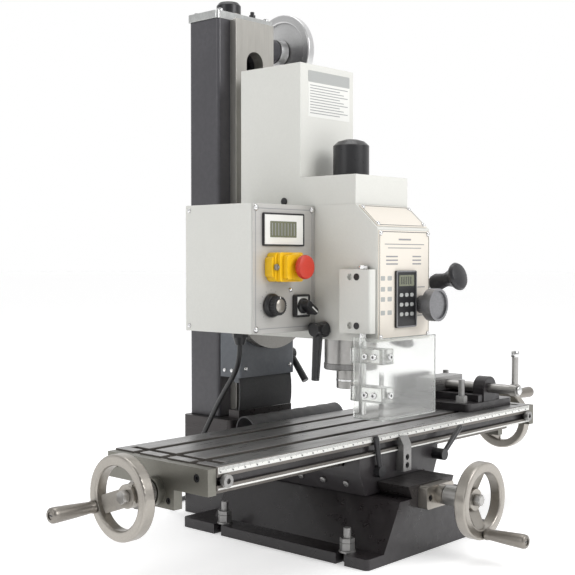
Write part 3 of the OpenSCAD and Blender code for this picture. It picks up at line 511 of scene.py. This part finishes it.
def smooth_path(points, steps):
    """Points on a smooth curve through the given ones."""
    made = []
    for i in range(len(points) - 1):
        p = [Vector(points[max(0, min(len(points) - 1, i + k))]) for k in (-1, 0, 1, 2)]
        for s in range(steps):
            t = s / steps
            made.append(
                0.5 * (2 * p[1] + (p[2] - p[0]) * t + (2 * p[0] - 5 * p[1] + 4 * p[2] - p[3]) * t * t
                       + (3 * p[1] - p[0] - 3 * p[2] + p[3]) * t**3)
            )
    made.append(Vector(points[-1]))
    return made


upper_path = smooth_path(CORD_DROP[: JOIN + 1], 3)
coil_path = []
for step in range(1, COIL_TURNS * 24 + 1):
    turn = step / 24
    angle = 2 * math.pi * turn - math.pi / 2
    coil_path.append(
        Vector((COIL_AT[0] + COIL_R * math.cos(angle), COIL_AT[1] + COIL_R * math.sin(angle),
                CORD_R + COIL_PITCH * turn))
    )
top = CORD_R + COIL_PITCH * COIL_TURNS
tail = smooth_path([coil_path[-2], coil_path[-1], (188, 302.5, top - 1), (204, 307.5, top - 6), (218, 313.5, 15.5),
                    (232, 317, 12.6), PLUG], 3)[4:]
lower_path = smooth_path(CORD_DROP[JOIN:], 2) + coil_path + tail

cord_upper = Shape().tube(upper_path, CORD_R).done("cord_from_gland", "cord", None, "cord_pvc", keep_free=True,
                                                    hides=["power_cord"])
cord_lower = Shape().tube(lower_path, CORD_R).done("cord_to_plug", "cord", None, "cord_pvc", keep_free=True,
                                                    hides=["cord_coil"])
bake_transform(cord_upper)
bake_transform(cord_lower)

plug_place = facing((PLUG[0], PLUG[1], 0), UP, (0, 1, 0))
plug = Shape()
plug.block((0, -15, 0.2), (34, 15, 24), plug_place, 6)
for side in (-1, 1):
    plug.block((34, side * 4 - 2.6, 8), (52, side * 4 + 2.4 if side > 0 else side * 4 + 2.4, 14), plug_place, 1)
plug = plug.done("plug_body", "black", "root", "cord_pvc", bevel=1.6, hides=["cord_plug"])
relief = Shape()
relief.turn(
    [(0, 0), (3.9, 0), (4.1, 4), (4.5, 8), (4.3, 10), (4.9, 14), (4.7, 16), (5.4, 21), (5.2, 23), (6.2, 30), (0, 30)],
    facing((PLUG[0] - 29, PLUG[1] - 0.6, 12), RIGHT), 24,
)
relief = relief.done("plug_strain_relief", "black", "root", "cord_pvc")

# ---- rubber way covers ----


def strip(name, profile, half, thick, hides):
    """A sheet that follows a profile of (y, z) across X, thick mm thick."""
    made = Shape()
    points = [Vector((0, y, z)) for y, z in profile]
    across = 24
    rows = []
    for i, p in enumerate(points):
        along = (points[min(i + 1, len(points) - 1)] - points[max(i - 1, 0)]).normalized()
        out = Vector((1, 0, 0)).cross(along)
        rows.append((p + out * thick / 2, p - out * thick / 2))
    verts, faces = [], []
    for side in (0, 1):
        for i, row in enumerate(rows):
            for k in range(across + 1):
                sag = 0.6 * math.sin(k * 1.9 + i * 0.7)
                x = -half + 2 * half * k / across
                verts.append((x, row[side].y, row[side].z + sag * (0 < i < len(rows) - 1)))
    width = across + 1
    count = len(rows) * width
    for i in range(len(rows) - 1):
        for k in range(across):
            a = i * width + k
            faces.append([a, a + 1, a + width + 1, a + width])
            b = a + count
            faces.append([b, b + width, b + width + 1, b + 1])
    for i in range(len(rows) - 1):
        for k in (0, across):
            a = i * width + k
            faces.append([a, a + width, a + width + count, a + count])
    for i in (0, len(rows) - 1):
        for k in range(across):
            a = i * width + k
            faces.append([a, a + 1, a + 1 + count, a + count])
    made.add(verts, faces)
    return made.done(name, "rubber", None, "rubber", keep_free=True, hides=hides)


ARCH = [(112 + 17.5 * math.cos(math.radians(a)), 146 + 17.5 * math.sin(math.radians(a))) for a in range(180, -1, -15)]
REAR_COVER = [(86.5, 112), (91, 119), (94, 130)] + ARCH + [(131.5, 130), (138, 122.5), (150, 118.5), (166.5, 117.5)]
rear_cover = strip("rear_way_cover", REAR_COVER, 100, 2.0, ["y_way_cover"])
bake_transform(rear_cover)
DROP_COVER = [(167.8, 163.5), (166.2, 171), (165.6, 180), (165.5, 190), (166, 200), (167.6, 211)]
drop_cover = strip("column_way_cover", DROP_COVER, 57, 2.0, ["z_way_cover"])
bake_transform(drop_cover)

# ---- chip guard ----

ROD = (-67, -74.5)
guard = Shape()
BEND = 5
outer = [(-89, -76), (-89, -123 + BEND)]
outer += [(-89 + BEND - BEND * math.cos(math.radians(a)), -123 + BEND - BEND * math.sin(math.radians(a)))
          for a in range(15, 91, 15)]
outer += [(31, -123)]
inner = [(31, -120.2)]
inner += [(-86.2 + BEND - 1 - (BEND - 1) * math.cos(math.radians(a)),
           -120.2 + BEND - 1 - (BEND - 1) * math.sin(math.radians(a))) for a in range(90, -1, -15)]
inner += [(-86.2, -76)]
guard.prism(outer + inner, 180, 286)
guard.done("guard_sheet", "clear", "guard", "clear_plastic", hides=["chip_guard"], smooth=50)
edges = Shape()
edges.block((-88.9, -122.9, 179.8), (31, -120.3, 181.2))
edges.block((30.2, -122.9, 181), (31.2, -120.3, 286))
edges.block((-88.9, -120, 179.8), (-86.3, -76, 181.2))
edges.block((-88.9, -122.9, 285.2), (31, -120.3, 286.2))
edges.done("guard_cut_edges", "edge", "guard", "clear_plastic", bevel=0.3)
rod = Shape()
rod.turn([(0, 0), (4.2, 0), (5, 1), (5, 197), (0, 197)], facing((*ROD, 182), UP, (0, 1, 0)), 32)
rod.turn([(0, 0), (6.6, 0), (7, 0.6), (7, 4.2), (6.3, 4.8), (0, 4.8)], facing((*ROD, 375.2), UP, (0, 1, 0)), 32)
rod.done("guard_rod", "chrome", "guard", "steel")
clamps = Shape()
for z in (202, 252):
    clamps.block((-86, -119.9, z), (-60, -66, z + 20), radius=4)
clamps.done("guard_clamps", "clear", "guard", "clear_plastic", bevel=1.0)
pins = Shape()
for z in (212, 262):
    for y in (-96, -110):
        socket_head(pins, facing((-89.1, y, z), LEFT), 4.2, 3.4)
    socket_head(pins, facing((-74, -124.2 + 1, z), FRONT), 4.2, 3.4)
pins.done("guard_screws", "chrome", "guard", "steel")
bracket_details = Shape()
for z in (300, 365):
    bracket_details.turn([(0, -3), (2.2, -3), (2.2, 0.2), (4.6, 0.2), (4.6, 0.5), (0, 0.5)],
                         facing((-74.3, -69, z), LEFT), 24)
bracket_details.done("guard_bracket_screws", "black", "head", "steel")

# ---- control plate ----

BOX = (-183, -59.6, 290, 462)
STOP = (-122, 378)
SPEED = (-148, 327)
RANGE = (-91, 325)
plate = facing((0, PLATE_Y, 0), FRONT)
lines = Shape()
lines.frame(BOX[0] + 5, BOX[2] + 6, BOX[1] - 5, BOX[3] - 6, 0.9, 0, 0.22, plate, 7)
lines.done("plate_border", "grey_ink", "head", "brushed_plate")
screws = Shape()
for x in (BOX[0] + 6, BOX[1] - 6):
    for z in (BOX[2] + 6, BOX[3] - 6):
        screws.turn(dome(4.3, 3), facing((x, PLATE_Y, z), FRONT), 24)
for x in (-54, 54):
    screws.turn(dome(3.4, 2.4), facing((x, -93.6, 285), FRONT), 24)
    screws.turn(dome(3.4, 2.4), facing((x, -93.6, 423), FRONT), 24)
for z in (297, 455):
    screws.turn(dome(3.2, 2.2), facing((BOX[0], 138, z), LEFT), 24)
screws.turn(dome(3.2, 3.2), facing((-110, PLATE_Y, 347), FRONT), 24)
screws.done("plate_screws", "chrome", "head", "steel")

TACHO = (-165, 406, -84, 450)
bezel = Shape()
bezel.frame(*TACHO, 2.2, 0, 3, plate, 2)
bezel.done("tachometer_bezel", "black", "head", "black_plastic", bevel=0.5)
face = Shape()
face.block((TACHO[0] + 2, TACHO[1] + 2, 0), (TACHO[2] - 2, TACHO[3] - 2, 2.4), plate)
face.done("tachometer_face", "label", "head", "cream_plate", bevel=0.4)
screen = Shape()
screen.block((-152, 417.5, 2), (-100, 439, 2.8), plate, 1)
screen.done("tachometer_screen", "screen", "head", "black_plastic")
digits = Shape()
for i in range(8):
    digits.block((-149 + i * 6.2, 420, 2.7), (-147.6 + i * 6.2, 436.5, 2.95), plate)
digits.done("tachometer_segments", "grey_ink", "head", "black_plastic")

housing = Shape()
stand = facing((0, PLATE_Y, STOP[1]), FRONT)
housing.block((-160, -14, 0), (-150, 14, 13), stand, 5)
housing.block((-156, -19.5, 0), (-142, 19.5, 15), stand, 6)
housing.block((-152, -19.5, 0), (-106, 19.5, 20), stand, 4)
housing.block((-146, -16, 19), (-107, 16, 27.5), stand, 4)
housing.turn([(19, 20), (18, 26.6), (17, 27.6), (11, 27.6), (11, 20)], facing((STOP[0], PLATE_Y, STOP[1]), FRONT), 40)
housing.done("switch_body", "yellow", "head", "yellow_plastic", bevel=1.3, hides=["switch_housing"])
hinge = Shape()
hinge.block((-157, -4, 14), (-148, 4, 17.5), stand, 1.5)
hinge.turn(dome(2.4, 1.8), facing((-152, PLATE_Y - 17.4, STOP[1]), FRONT), 20)
hinge.done("switch_catch", "dull", "head", "steel", bevel=0.5)
mushroom = Shape()
mushroom.turn(
    [(0, 19), (7, 19), (7, 32), (12, 33), (15.4, 34), (16, 35.5), (16, 38.5), (15.2, 40.6), (12.5, 41.8), (8, 42.2),
     (0, 41.9)],
    facing((STOP[0], PLATE_Y, STOP[1]), FRONT), 56,
)
mushroom.done("stop_button", "red", "stop_knob", "red_plastic", hides=["stop_knob"])

knob = Shape()
speed = facing((SPEED[0], PLATE_Y, SPEED[1]), FRONT)
knob.turn([(0, 1), (16, 1), (16, 4), (15, 6), (13.4, 8), (0, 8)], speed, 56)
flutes = []
for i in range(96):
    r = 12.3 + 0.55 * math.cos(i * 2 * math.pi / 4)
    a = 2 * math.pi * i / 96
    flutes.append((r * math.cos(a), r * math.sin(a)))
knob.prism(flutes, 7.5, 17, speed)
knob.done("speed_dial", "black", "speed_knob", "black_plastic", bevel=0.4, hides=["speed_knob"])
cap = Shape()
cap.turn([(0, 16.5), (8.8, 16.5), (8.8, 17.6), (8.2, 18.1), (0, 18.1)], speed, 40)
cap.done("speed_dial_cap", "satin", "speed_knob", "steel")
pointer = Shape()
pointer.block((-0.6, 9.2, 16.8), (0.6, 12.2, 17.3), speed)
pointer.done("speed_dial_mark", "label", "speed_knob", "cream_plate")
ticks = Shape()
for i in range(11):
    a = math.radians(225 - 27 * i)
    turn = speed @ Matrix.Rotation(a, 4, "Z")
    ticks.block((19, -0.3, 0), (21.6, 0.3, 0.22), turn)
ticks.done("speed_scale", "grey_ink", "head", "brushed_plate")

switch = facing((RANGE[0], PLATE_Y, RANGE[1]), FRONT)
base_frame = Shape()
base_frame.frame(-14.5, -15.5, 14.5, 15.5, 3, 0, 7, switch, 3)
base_frame.done("rotary_switch_frame", "black", "head", "black_plastic", bevel=0.6)
switch_face = Shape()
switch_face.block((-12, -13, 0), (12, 13, 5.8), switch, 1)
switch_face.done("rotary_switch_face", "label", "head", "cream_plate")
lever = Shape()
lever.turn([(0, 5), (10.5, 5), (10.5, 9), (9.4, 11), (0, 11)], switch, 40)
turned = switch @ Matrix.Rotation(math.radians(-125), 4, "Z")
lever.block((-5, -9, 6), (5, 17, 22), turned, 4)
lever.done("rotary_switch_lever", "black", "range_switch", "black_plastic", bevel=1.2, hides=["range_switch"])
lever_line = Shape()
lever_line.block((-0.9, 2, 21.7), (0.9, 15, 22.3), turned)
lever_line.done("rotary_switch_mark", "label", "range_switch", "cream_plate")
grommet = Shape()
grommet.turn(
    [(0, -1), (4, -1), (4, 0), (5.5, 0), (5.5, 1.4), (4.4, 2.4), (2, 2.8), (0, 2.2)],
    facing((-59, 74, 470), LEFT), 28,
)
grommet.done("cover_grommet", "black", "head", "black_plastic")

# ---- front plates ----

front = facing((0, -93.5, 0), FRONT)
slope = Vector((0, 37, 33)).normalized()
slope_out = Vector((0, -slope.z, slope.y))
upper_plate = facing(Vector((0, HEAD_FRONT, 430)) + slope * 24.5 + slope_out * 1.5, slope_out)
border = Shape()
border.frame(-56.5, 282.5, 56.5, 425.5, 0.8, 0, 0.2, front, 5)
border.frame(-54.5, -20, 54.5, 20, 0.8, 0, 0.2, upper_plate, 5)
border.done("front_borders", "ink", "head", "cream_plate")
upper_screws = Shape()
for x in (-52, 52):
    for y in (-17, 17):
        upper_screws.turn(dome(3.4, 2.4), upper_plate @ Matrix.Translation((x, y, 0)), 24)
upper_screws.done("upper_plate_screws", "chrome", "head", "steel")

upper_rules = Shape()
for z, half, thick in ((415, 14, 2.2), (408.5, 45, 1.1), (403.5, 38, 1.1)):
    upper_rules.block((-half, z - thick / 2, 0), (half, z + thick / 2, 0.2), front)
upper_rules.done("upper_rules", "grey_ink", "head", "cream_plate")
grey_rows = Shape()
for z in (392, 387, 382):
    for x0, x1 in ((-42, -16), (18, 38)):
        grey_rows.block((x0, z - 0.9, 0), (x1, z + 0.9, 0.2), front)
for z in (350, 333, 311):
    grey_rows.block((30, z - 0.6, 0), (47, z + 0.6, 0.2), front)
grey_rows.block((26, 318, 0), (27.2, 372, 0.2), front)
grey_rows.done("grey_rows", "grey_ink", "head", "cream_plate")
patches = Shape()
for z in (363, 348.5, 335, 317):
    for x in (-49, -34):
        patches.block((x - 4.5, z - 3, 0), (x + 4.5, z + 3, 0.25), front, 1)
patches.done("plain_patches", "key_grey", "head", "cream_plate")

readout = facing((0, -96.5, 0), FRONT)
rim = Shape()
rim.frame(-23, 296, 23, 373, 2.2, 0, 1.2, readout, 3)
rim.done("readout_rim", "dark_knob", "head", "black_plastic", bevel=0.4)
glass = Shape()
glass.block((-17, 352, 0), (17, 367, 0.5), readout, 1)
glass.done("readout_screen", "screen", "head", "black_plastic")
segments = Shape()
for i in range(5):
    segments.block((-13 + i * 5.2, 354.5, 0.45), (-10 + i * 5.2, 364.5, 0.65), readout, 0.5)
segments.done("readout_segments", "screen_dark", "head", "black_plastic")
keys = Shape()
for x in (-12, 0, 12):
    for z in (340, 327, 314):
        keys.block((x - 4, z - 2.6, 0), (x + 4, z + 2.6, 0.9), readout, 2.5)
keys.done("readout_keys", "key_grey", "head", "black_plastic", bevel=0.3)

# ---- motor cover label ----

COVER_STEP = 44
label_place = facing((0, COVER_STEP, 0), FRONT)
sticker = Shape()
sticker.block((-42, 590, 0), (50, 655, 0.25), label_place, 1.5)
sticker.done("cover_label", "label", "head", "cream_plate")
band = Shape()
band.block((-42, 639, 0.2), (50, 655, 0.42), label_place, 1)
band.done("cover_label_band", "key_grey", "head", "cream_plate")
ruled = Shape()
for i in range(11):
    end = 46 - 9 * ((i * 5) % 3)
    ruled.block((-38, 634 - i * 3.9, 0.2), (end, 635.1 - i * 3.9, 0.36), label_place)
ruled.done("cover_label_rows", "grey_ink", "head", "cream_plate")
seams = Shape()
seams.block((-58.6, 43.2, 502.4), (58.6, 44.4, 503.6))
seams.done("cover_seam", "cream", "head", "painted_light", bevel=0.3)
cover_screws = Shape()
for z in (472, 655):
    cover_screws.turn(dome(3.4, 2), facing((59, 152, z), RIGHT), 20)
cover_screws.turn(dome(3.4, 2), facing((59, -46, 472), RIGHT), 20)
cover_screws.done("cover_screws", "chrome", "head", "steel")

# ---- table ----

scale = Shape()
strip_place = facing((0, TABLE_FRONT, 0), FRONT)
scale.block((-TABLE_HALF + 2, 146, 0), (TABLE_HALF - 3, 153.6, 0.35), strip_place)
scale.block((-TABLE_HALF + 2, 127.6, 0), (TABLE_HALF - 2, 129.6, 0.25), strip_place)
scale.done("table_scale", "label", "table", "ground_iron")
graduations = Shape()
x = -TABLE_HALF + 4
count = 0
while x < TABLE_HALF - 4:
    long_line = 5.8 if count % 10 == 0 else 4.6 if count % 5 == 0 else 3.4
    graduations.block((x - 0.3, 153.4 - long_line, 0.3), (x + 0.3, 153.4, 0.42), strip_place)
    if count % 10 == 0:
        graduations.block((x + 1, 147, 0.3), (x + 2.6, 149, 0.42), strip_place)
    x += 2.0
    count += 1
graduations.done("table_graduations", "ink", "table", "ground_iron")
# painted shade: a thin black sheet on the floor of the front groove makes the recess read dark against the bare iron
groove = Shape()
groove.block((-TABLE_HALF + 1, 133.2, -5.4), (TABLE_HALF - 1, 141.8, -5.0), strip_place)
groove.done("table_groove_painted_shade", "black_iron", "table", "ground_iron")
# painted shade: thin black sheets on the T-slot floors, from the left end to x 200, darken the slots
slots = Shape()
for y in (-48, 2, 52):
    slots.block((-TABLE_HALF + 0.6, y - 9.6, 140.05), (200, y + 9.6, 140.5))
slots.done("t_slot_painted_shade", "black_iron", "table", "ground_iron")
end_screws = Shape()
for side, direction in ((1, RIGHT), (-1, LEFT)):
    for y in (-68, 72):
        socket_head(end_screws, facing((side * 356.5, y, 141), direction), 4.8, 5.5)
    for y in (-20, 24):
        socket_head(end_screws, facing((side * 356.5, y, 108), direction), 3.8, 5.5)
end_screws.done("end_bracket_screws", "black", "table", "steel")

# ---- handwheels ----


def dial(shape, place, radius, slope, ticks=50):
    """Graduation lines round a tapered dial."""
    for i in range(ticks):
        a = 2 * math.pi * i / ticks
        length = 8 if i % 5 == 0 else 5
        turn = place @ Matrix.Rotation(a, 4, "Z") @ Matrix.Translation((radius, 0, 0))
        turn = turn @ Matrix.Rotation(slope, 4, "Y")
        shape.block((-0.3, -0.22, 0.4), (0.12, 0.22, length), turn)


dial_lines = Shape()
dial(dial_lines, facing((376, TABLE_Y, SCREW_Z), RIGHT), 15.2, 0.103)
dial(dial_lines, facing((-376, TABLE_Y, SCREW_Z), LEFT), 15.2, 0.103)
dial_lines.done("x_dial_lines", "ink", "x_drive", "steel")
thumb_screw = Shape()
thumb_screw.turn([(0, 0), (3.2, 0), (3.2, 5), (2.6, 5.6), (0, 5.6)], facing((-9.2, -190.4, 86.4), (-0.7, 0, 0.7)), 20)
thumb_screw.done("y_dial_screw", "dull", "y_drive", "steel")


def rim_face(name, place, radius, height, body):
    """The turned face of one handwheel's rim, height mm above its middle."""
    ring = Shape()
    low, high = height - 0.15, height + 0.12
    ring.turn([(radius - 10, low), (radius - 10, high), (radius - 3.4, high), (radius - 3.4, low)], place, 96)
    ring.done(name, "satin_turned", body, "satin_aluminium", origin=tuple(place.translation))


rim_face("x_wheel_left_face", facing((-WHEEL_X, TABLE_Y, SCREW_Z), LEFT), WHEEL_R, 8, "x_drive")
rim_face("x_wheel_right_face", facing((WHEEL_X, TABLE_Y, SCREW_Z), RIGHT), WHEEL_R, 8, "x_drive")
rim_face("y_wheel_face", facing((0, -214, 77), FRONT), WHEEL_R, 8, "y_drive")
rim_face("z_wheel_face", facing(LIFT, RIGHT), 62.5, 7, "z_drive")
lift_nut = Shape()
lift_nut.prism(hexagon(15), 9, 16.5, facing(LIFT, RIGHT))
lift_nut.turn([(0, 8.6), (11.5, 8.6), (11.5, 9.8), (0, 9.8)], facing(LIFT, RIGHT), 32)
lift_nut.done("z_wheel_nut", "black", "z_drive", "steel", bevel=0.8)


def grip(name, place, length, body, hides):
    """A turned handle with its end screw, whose slot is a black bar of painted shade."""
    made = Shape()
    profile = [(0, 0), (6.2, 0), (7.6, 1.4), (7.8, 3), (6.9, 6), (6.9, 9), (7.5, length * 0.3), (8.3, length * 0.55),
               (9.1, length - 9), (9.2, length - 5), (8.8, length - 2), (7.6, length - 0.6), (4.6, length - 0.2),
               (4.6, length - 1.4), (0, length - 1.4)]
    made.turn(profile, place, 40)
    made.done(name, "grip", body, "steel", hides=hides, smooth=50)
    # painted shade: a thin black bar in the end recess stands for the screw's slot
    slot_shade = Shape()
    slot_shade.block((-3.6, -0.7, length - 1.5), (3.6, 0.7, length - 1.2), place)
    slot_shade.done(name + "_slot", "black", body, "steel")


def pin_frame(node_name, direction, body_axis_start):
    """The frame of a grip, taken from its CAD node's box."""
    low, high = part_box(node_name)
    middle = (low + high) / 2 / MM
    at = [middle.x, middle.y, middle.z]
    axis = [abs(d) for d in direction].index(1)
    at[axis] = body_axis_start
    return facing(at, direction, (0, 0, 1) if axis != 2 else (0, 1, 0))


grip("x_handle_left", pin_frame("x_grip_left", LEFT, -422), 62, "x_grip_l", ["x_grip_left"])
grip("x_handle_right", pin_frame("x_grip_right", RIGHT, 422), 62, "x_grip_r", ["x_grip_right"])
grip("y_handle", pin_frame("y_grip", FRONT, -222.5), 60, "y_grip", ["y_grip"])
grip("z_handle", pin_frame("z_grip", RIGHT, 133.5), 60, "z_grip", ["z_grip"])

# ---- small hardware ----

fixings = Shape()
for x in (-23, 23):
    socket_head(fixings, facing((x, -148, 75), FRONT), 4, 3.6)
fixings.done("y_bracket_screws", "black", "root", "steel")
stops = Shape()
for z in (108, 119):
    socket_head(stops, facing((0, -94.5, z), FRONT), 3.9, 3)
stops.done("stop_block_screws", "black", "saddle", "steel")
gib_screws = Shape()
for z in (225, 290, 355, 420):
    gib_screws.turn(dome(3.4, 2.4), facing((-49, 161, z), FRONT), 24)
    gib_screws.turn(dome(3.4, 2.4), facing((49, 161, z), FRONT), 24)
for y in (180, 195):
    for z in (222, 440):
        gib_screws.turn(dome(3.2, 2.2), facing((-59, y, z), LEFT), 24)
gib_screws.done("carriage_screws", "chrome", "carriage", "steel")
saddle_screws = Shape()
for y in (-60, -20, 20, 60):
    saddle_screws.turn([(0, 0), (4.4, 0), (4.4, 2.6), (3.9, 3), (0, 3)], facing((-83, y, 91), (-0.9, 0, -0.42)), 20)
    saddle_screws.turn([(0, 0), (4.4, 0), (4.4, 2.6), (3.9, 3), (0, 3)], facing((83, y, 91), (0.9, 0, -0.42)), 20)
saddle_screws.done("saddle_gib_screws", "dull", "saddle", "steel")
cap_screws = Shape()
for x in (-50, 50):
    for y in (213, 264):
        socket_head(cap_screws, facing((x, y, 762), UP, (0, 1, 0)), 4.2, 3.8)
for a in range(0, 360, 90):
    t = math.radians(a + 45)
    socket_head(cap_screws, facing((25 * math.cos(t), 245 + 25 * math.sin(t), 762), UP, (0, 1, 0)), 3.2, 2.6)
cap_screws.done("column_cap_screws", "chrome", "root", "steel")
cap_ring = Shape()
cap_ring.turn([(19.2, 762), (19.2, 768), (20.6, 768), (20.6, 762)], facing((0, 245, 0), UP, (0, 1, 0)), 48)
cap_ring.turn([(0, 786.9), (13.5, 786.9), (13.5, 787.3), (0, 787.3)], facing((0, 245, 0), UP, (0, 1, 0)), 40)
cap_ring.done("column_cap_ring", "satin", "root", "steel")

tilt_marks = Shape()
for i in range(-9, 10):
    a = math.radians(90 + i * 5)
    turn = facing((0, 148, 339), FRONT) @ Matrix.Rotation(a, 4, "Z")
    depth = 6 if i % 3 else 9
    tilt_marks.block((85 - 0.3, -0.35, -depth), (85.25, 0.35, -0.5), turn)
    tilt_marks.block((-85.25, -0.35, -depth), (-84.7, 0.35, -0.5), turn)
tilt_marks.done("tilt_scale", "ink", "head", "steel")

ribs = Shape()
ribbed = []
for i in range(120):
    r = 11.9 + 0.4 * math.cos(i * 2 * math.pi / 5)
    a = 2 * math.pi * i / 120
    ribbed.append((r * math.cos(a), r * math.sin(a)))
ribs.prism(ribbed, 94.4, 104.4, facing((36, 0, 326), FRONT))
ribs.done("fine_feed_ribs", "dark_knob", "fine_feed", "black_plastic")

nose = Shape()
nose.turn([(20.4, 214), (20.4, 216), (21.1, 216.4), (21.1, 219), (20.4, 219.4), (20.4, 221)], IDENTITY, 48)
nose.done("spindle_collar", "chrome", "spindle", "steel")
quill_ring = Shape()
quill_ring.turn([(37.4, 233.6), (38.4, 234.4), (38.4, 241.4), (37.4, 242.2)], IDENTITY, 64)
quill_ring.done("quill_end_ring", "dull", "quill", "steel")
tommy = Shape()
tommy.turn([(0, 0), (5.6, 0), (6.4, 1.2), (6.4, 8), (5.2, 9.6), (0, 9.6)], facing((265, -110, 238), UP, (0, 1, 0)), 28)
tommy.turn([(0, 0), (6.6, 0), (6.6, 2.2), (5.6, 3), (0, 3)], facing((265, -116.5, 187), FRONT), 28)
tommy.done("vise_handle_end", "chrome", "vise_screw", "steel")

# ---- floor, light and colour ----

floor_mesh = bmesh.new()
bmesh.ops.create_circle(floor_mesh, cap_ends=True, segments=96, radius=30)
floor_data = bpy.data.meshes.new("floor")
floor_mesh.to_mesh(floor_data)
floor_mesh.free()
floor = bpy.data.objects.new("floor", floor_data)
floor.location.z = -0.0002
pale = material("floor", color=(0.93, 0.93, 0.93), rough=0.75, tint=0.004, cloud=0.8, grain=60, depth=0.02, dirt=0.0)
glow = next(n for n in pale.node_tree.nodes if n.type == "BSDF_PRINCIPLED")
glow.inputs["Emission Color"].default_value = (1, 1, 1, 1)
glow.inputs["Emission Strength"].default_value = 0.35
floor_data.materials.append(pale)
bpy.context.scene.collection.objects.link(floor)


def soft_light(name, at, aim, size, power, color=(1, 1, 1)):
    """A square studio light at a point, aimed at another."""
    data = bpy.data.lights.new(name, "AREA")
    data.size = size
    data.energy = power
    data.color = color
    lamp = bpy.data.objects.new(name, data)
    lamp.location = at
    lamp.rotation_euler = (Vector(aim) - Vector(at)).to_track_quat("-Z", "Y").to_euler()
    bpy.context.scene.collection.objects.link(lamp)


CENTRE = (0, 0, 0.35)
soft_light("key", (0.5, -2.6, 1.9), CENTRE, 1.6, 46)
soft_light("side", (-2.8, 0.4, 1.5), CENTRE, 1.4, 14)
soft_light("top", (0.2, 0.4, 2.8), CENTRE, 1.6, 18)

world = bpy.data.worlds.new("studio")
bpy.context.scene.world = world
world.use_nodes = True
sky = world.node_tree
sky.nodes.clear()
where = sky.nodes.new("ShaderNodeTexCoord").outputs["Generated"]
split = sky.nodes.new("ShaderNodeSeparateXYZ")
sky.links.new(where, split.inputs[0])
back = sky.nodes.new("ShaderNodeMath")
sky.links.new(split.outputs["X"], back.inputs[0])
sky.links.new(split.outputs["Y"], back.inputs[1])
background = sky.nodes.new("ShaderNodeBackground")
sky.links.new(span(sky, back.outputs[0], 0.35, 1.0, -0.6, 0.75), background.inputs["Strength"])
background.inputs["Color"].default_value = (1, 1, 1, 1)
world_out = sky.nodes.new("ShaderNodeOutputWorld")
sky.links.new(background.outputs[0], world_out.inputs["Surface"])
bpy.context.scene.view_settings.view_transform = "Standard"
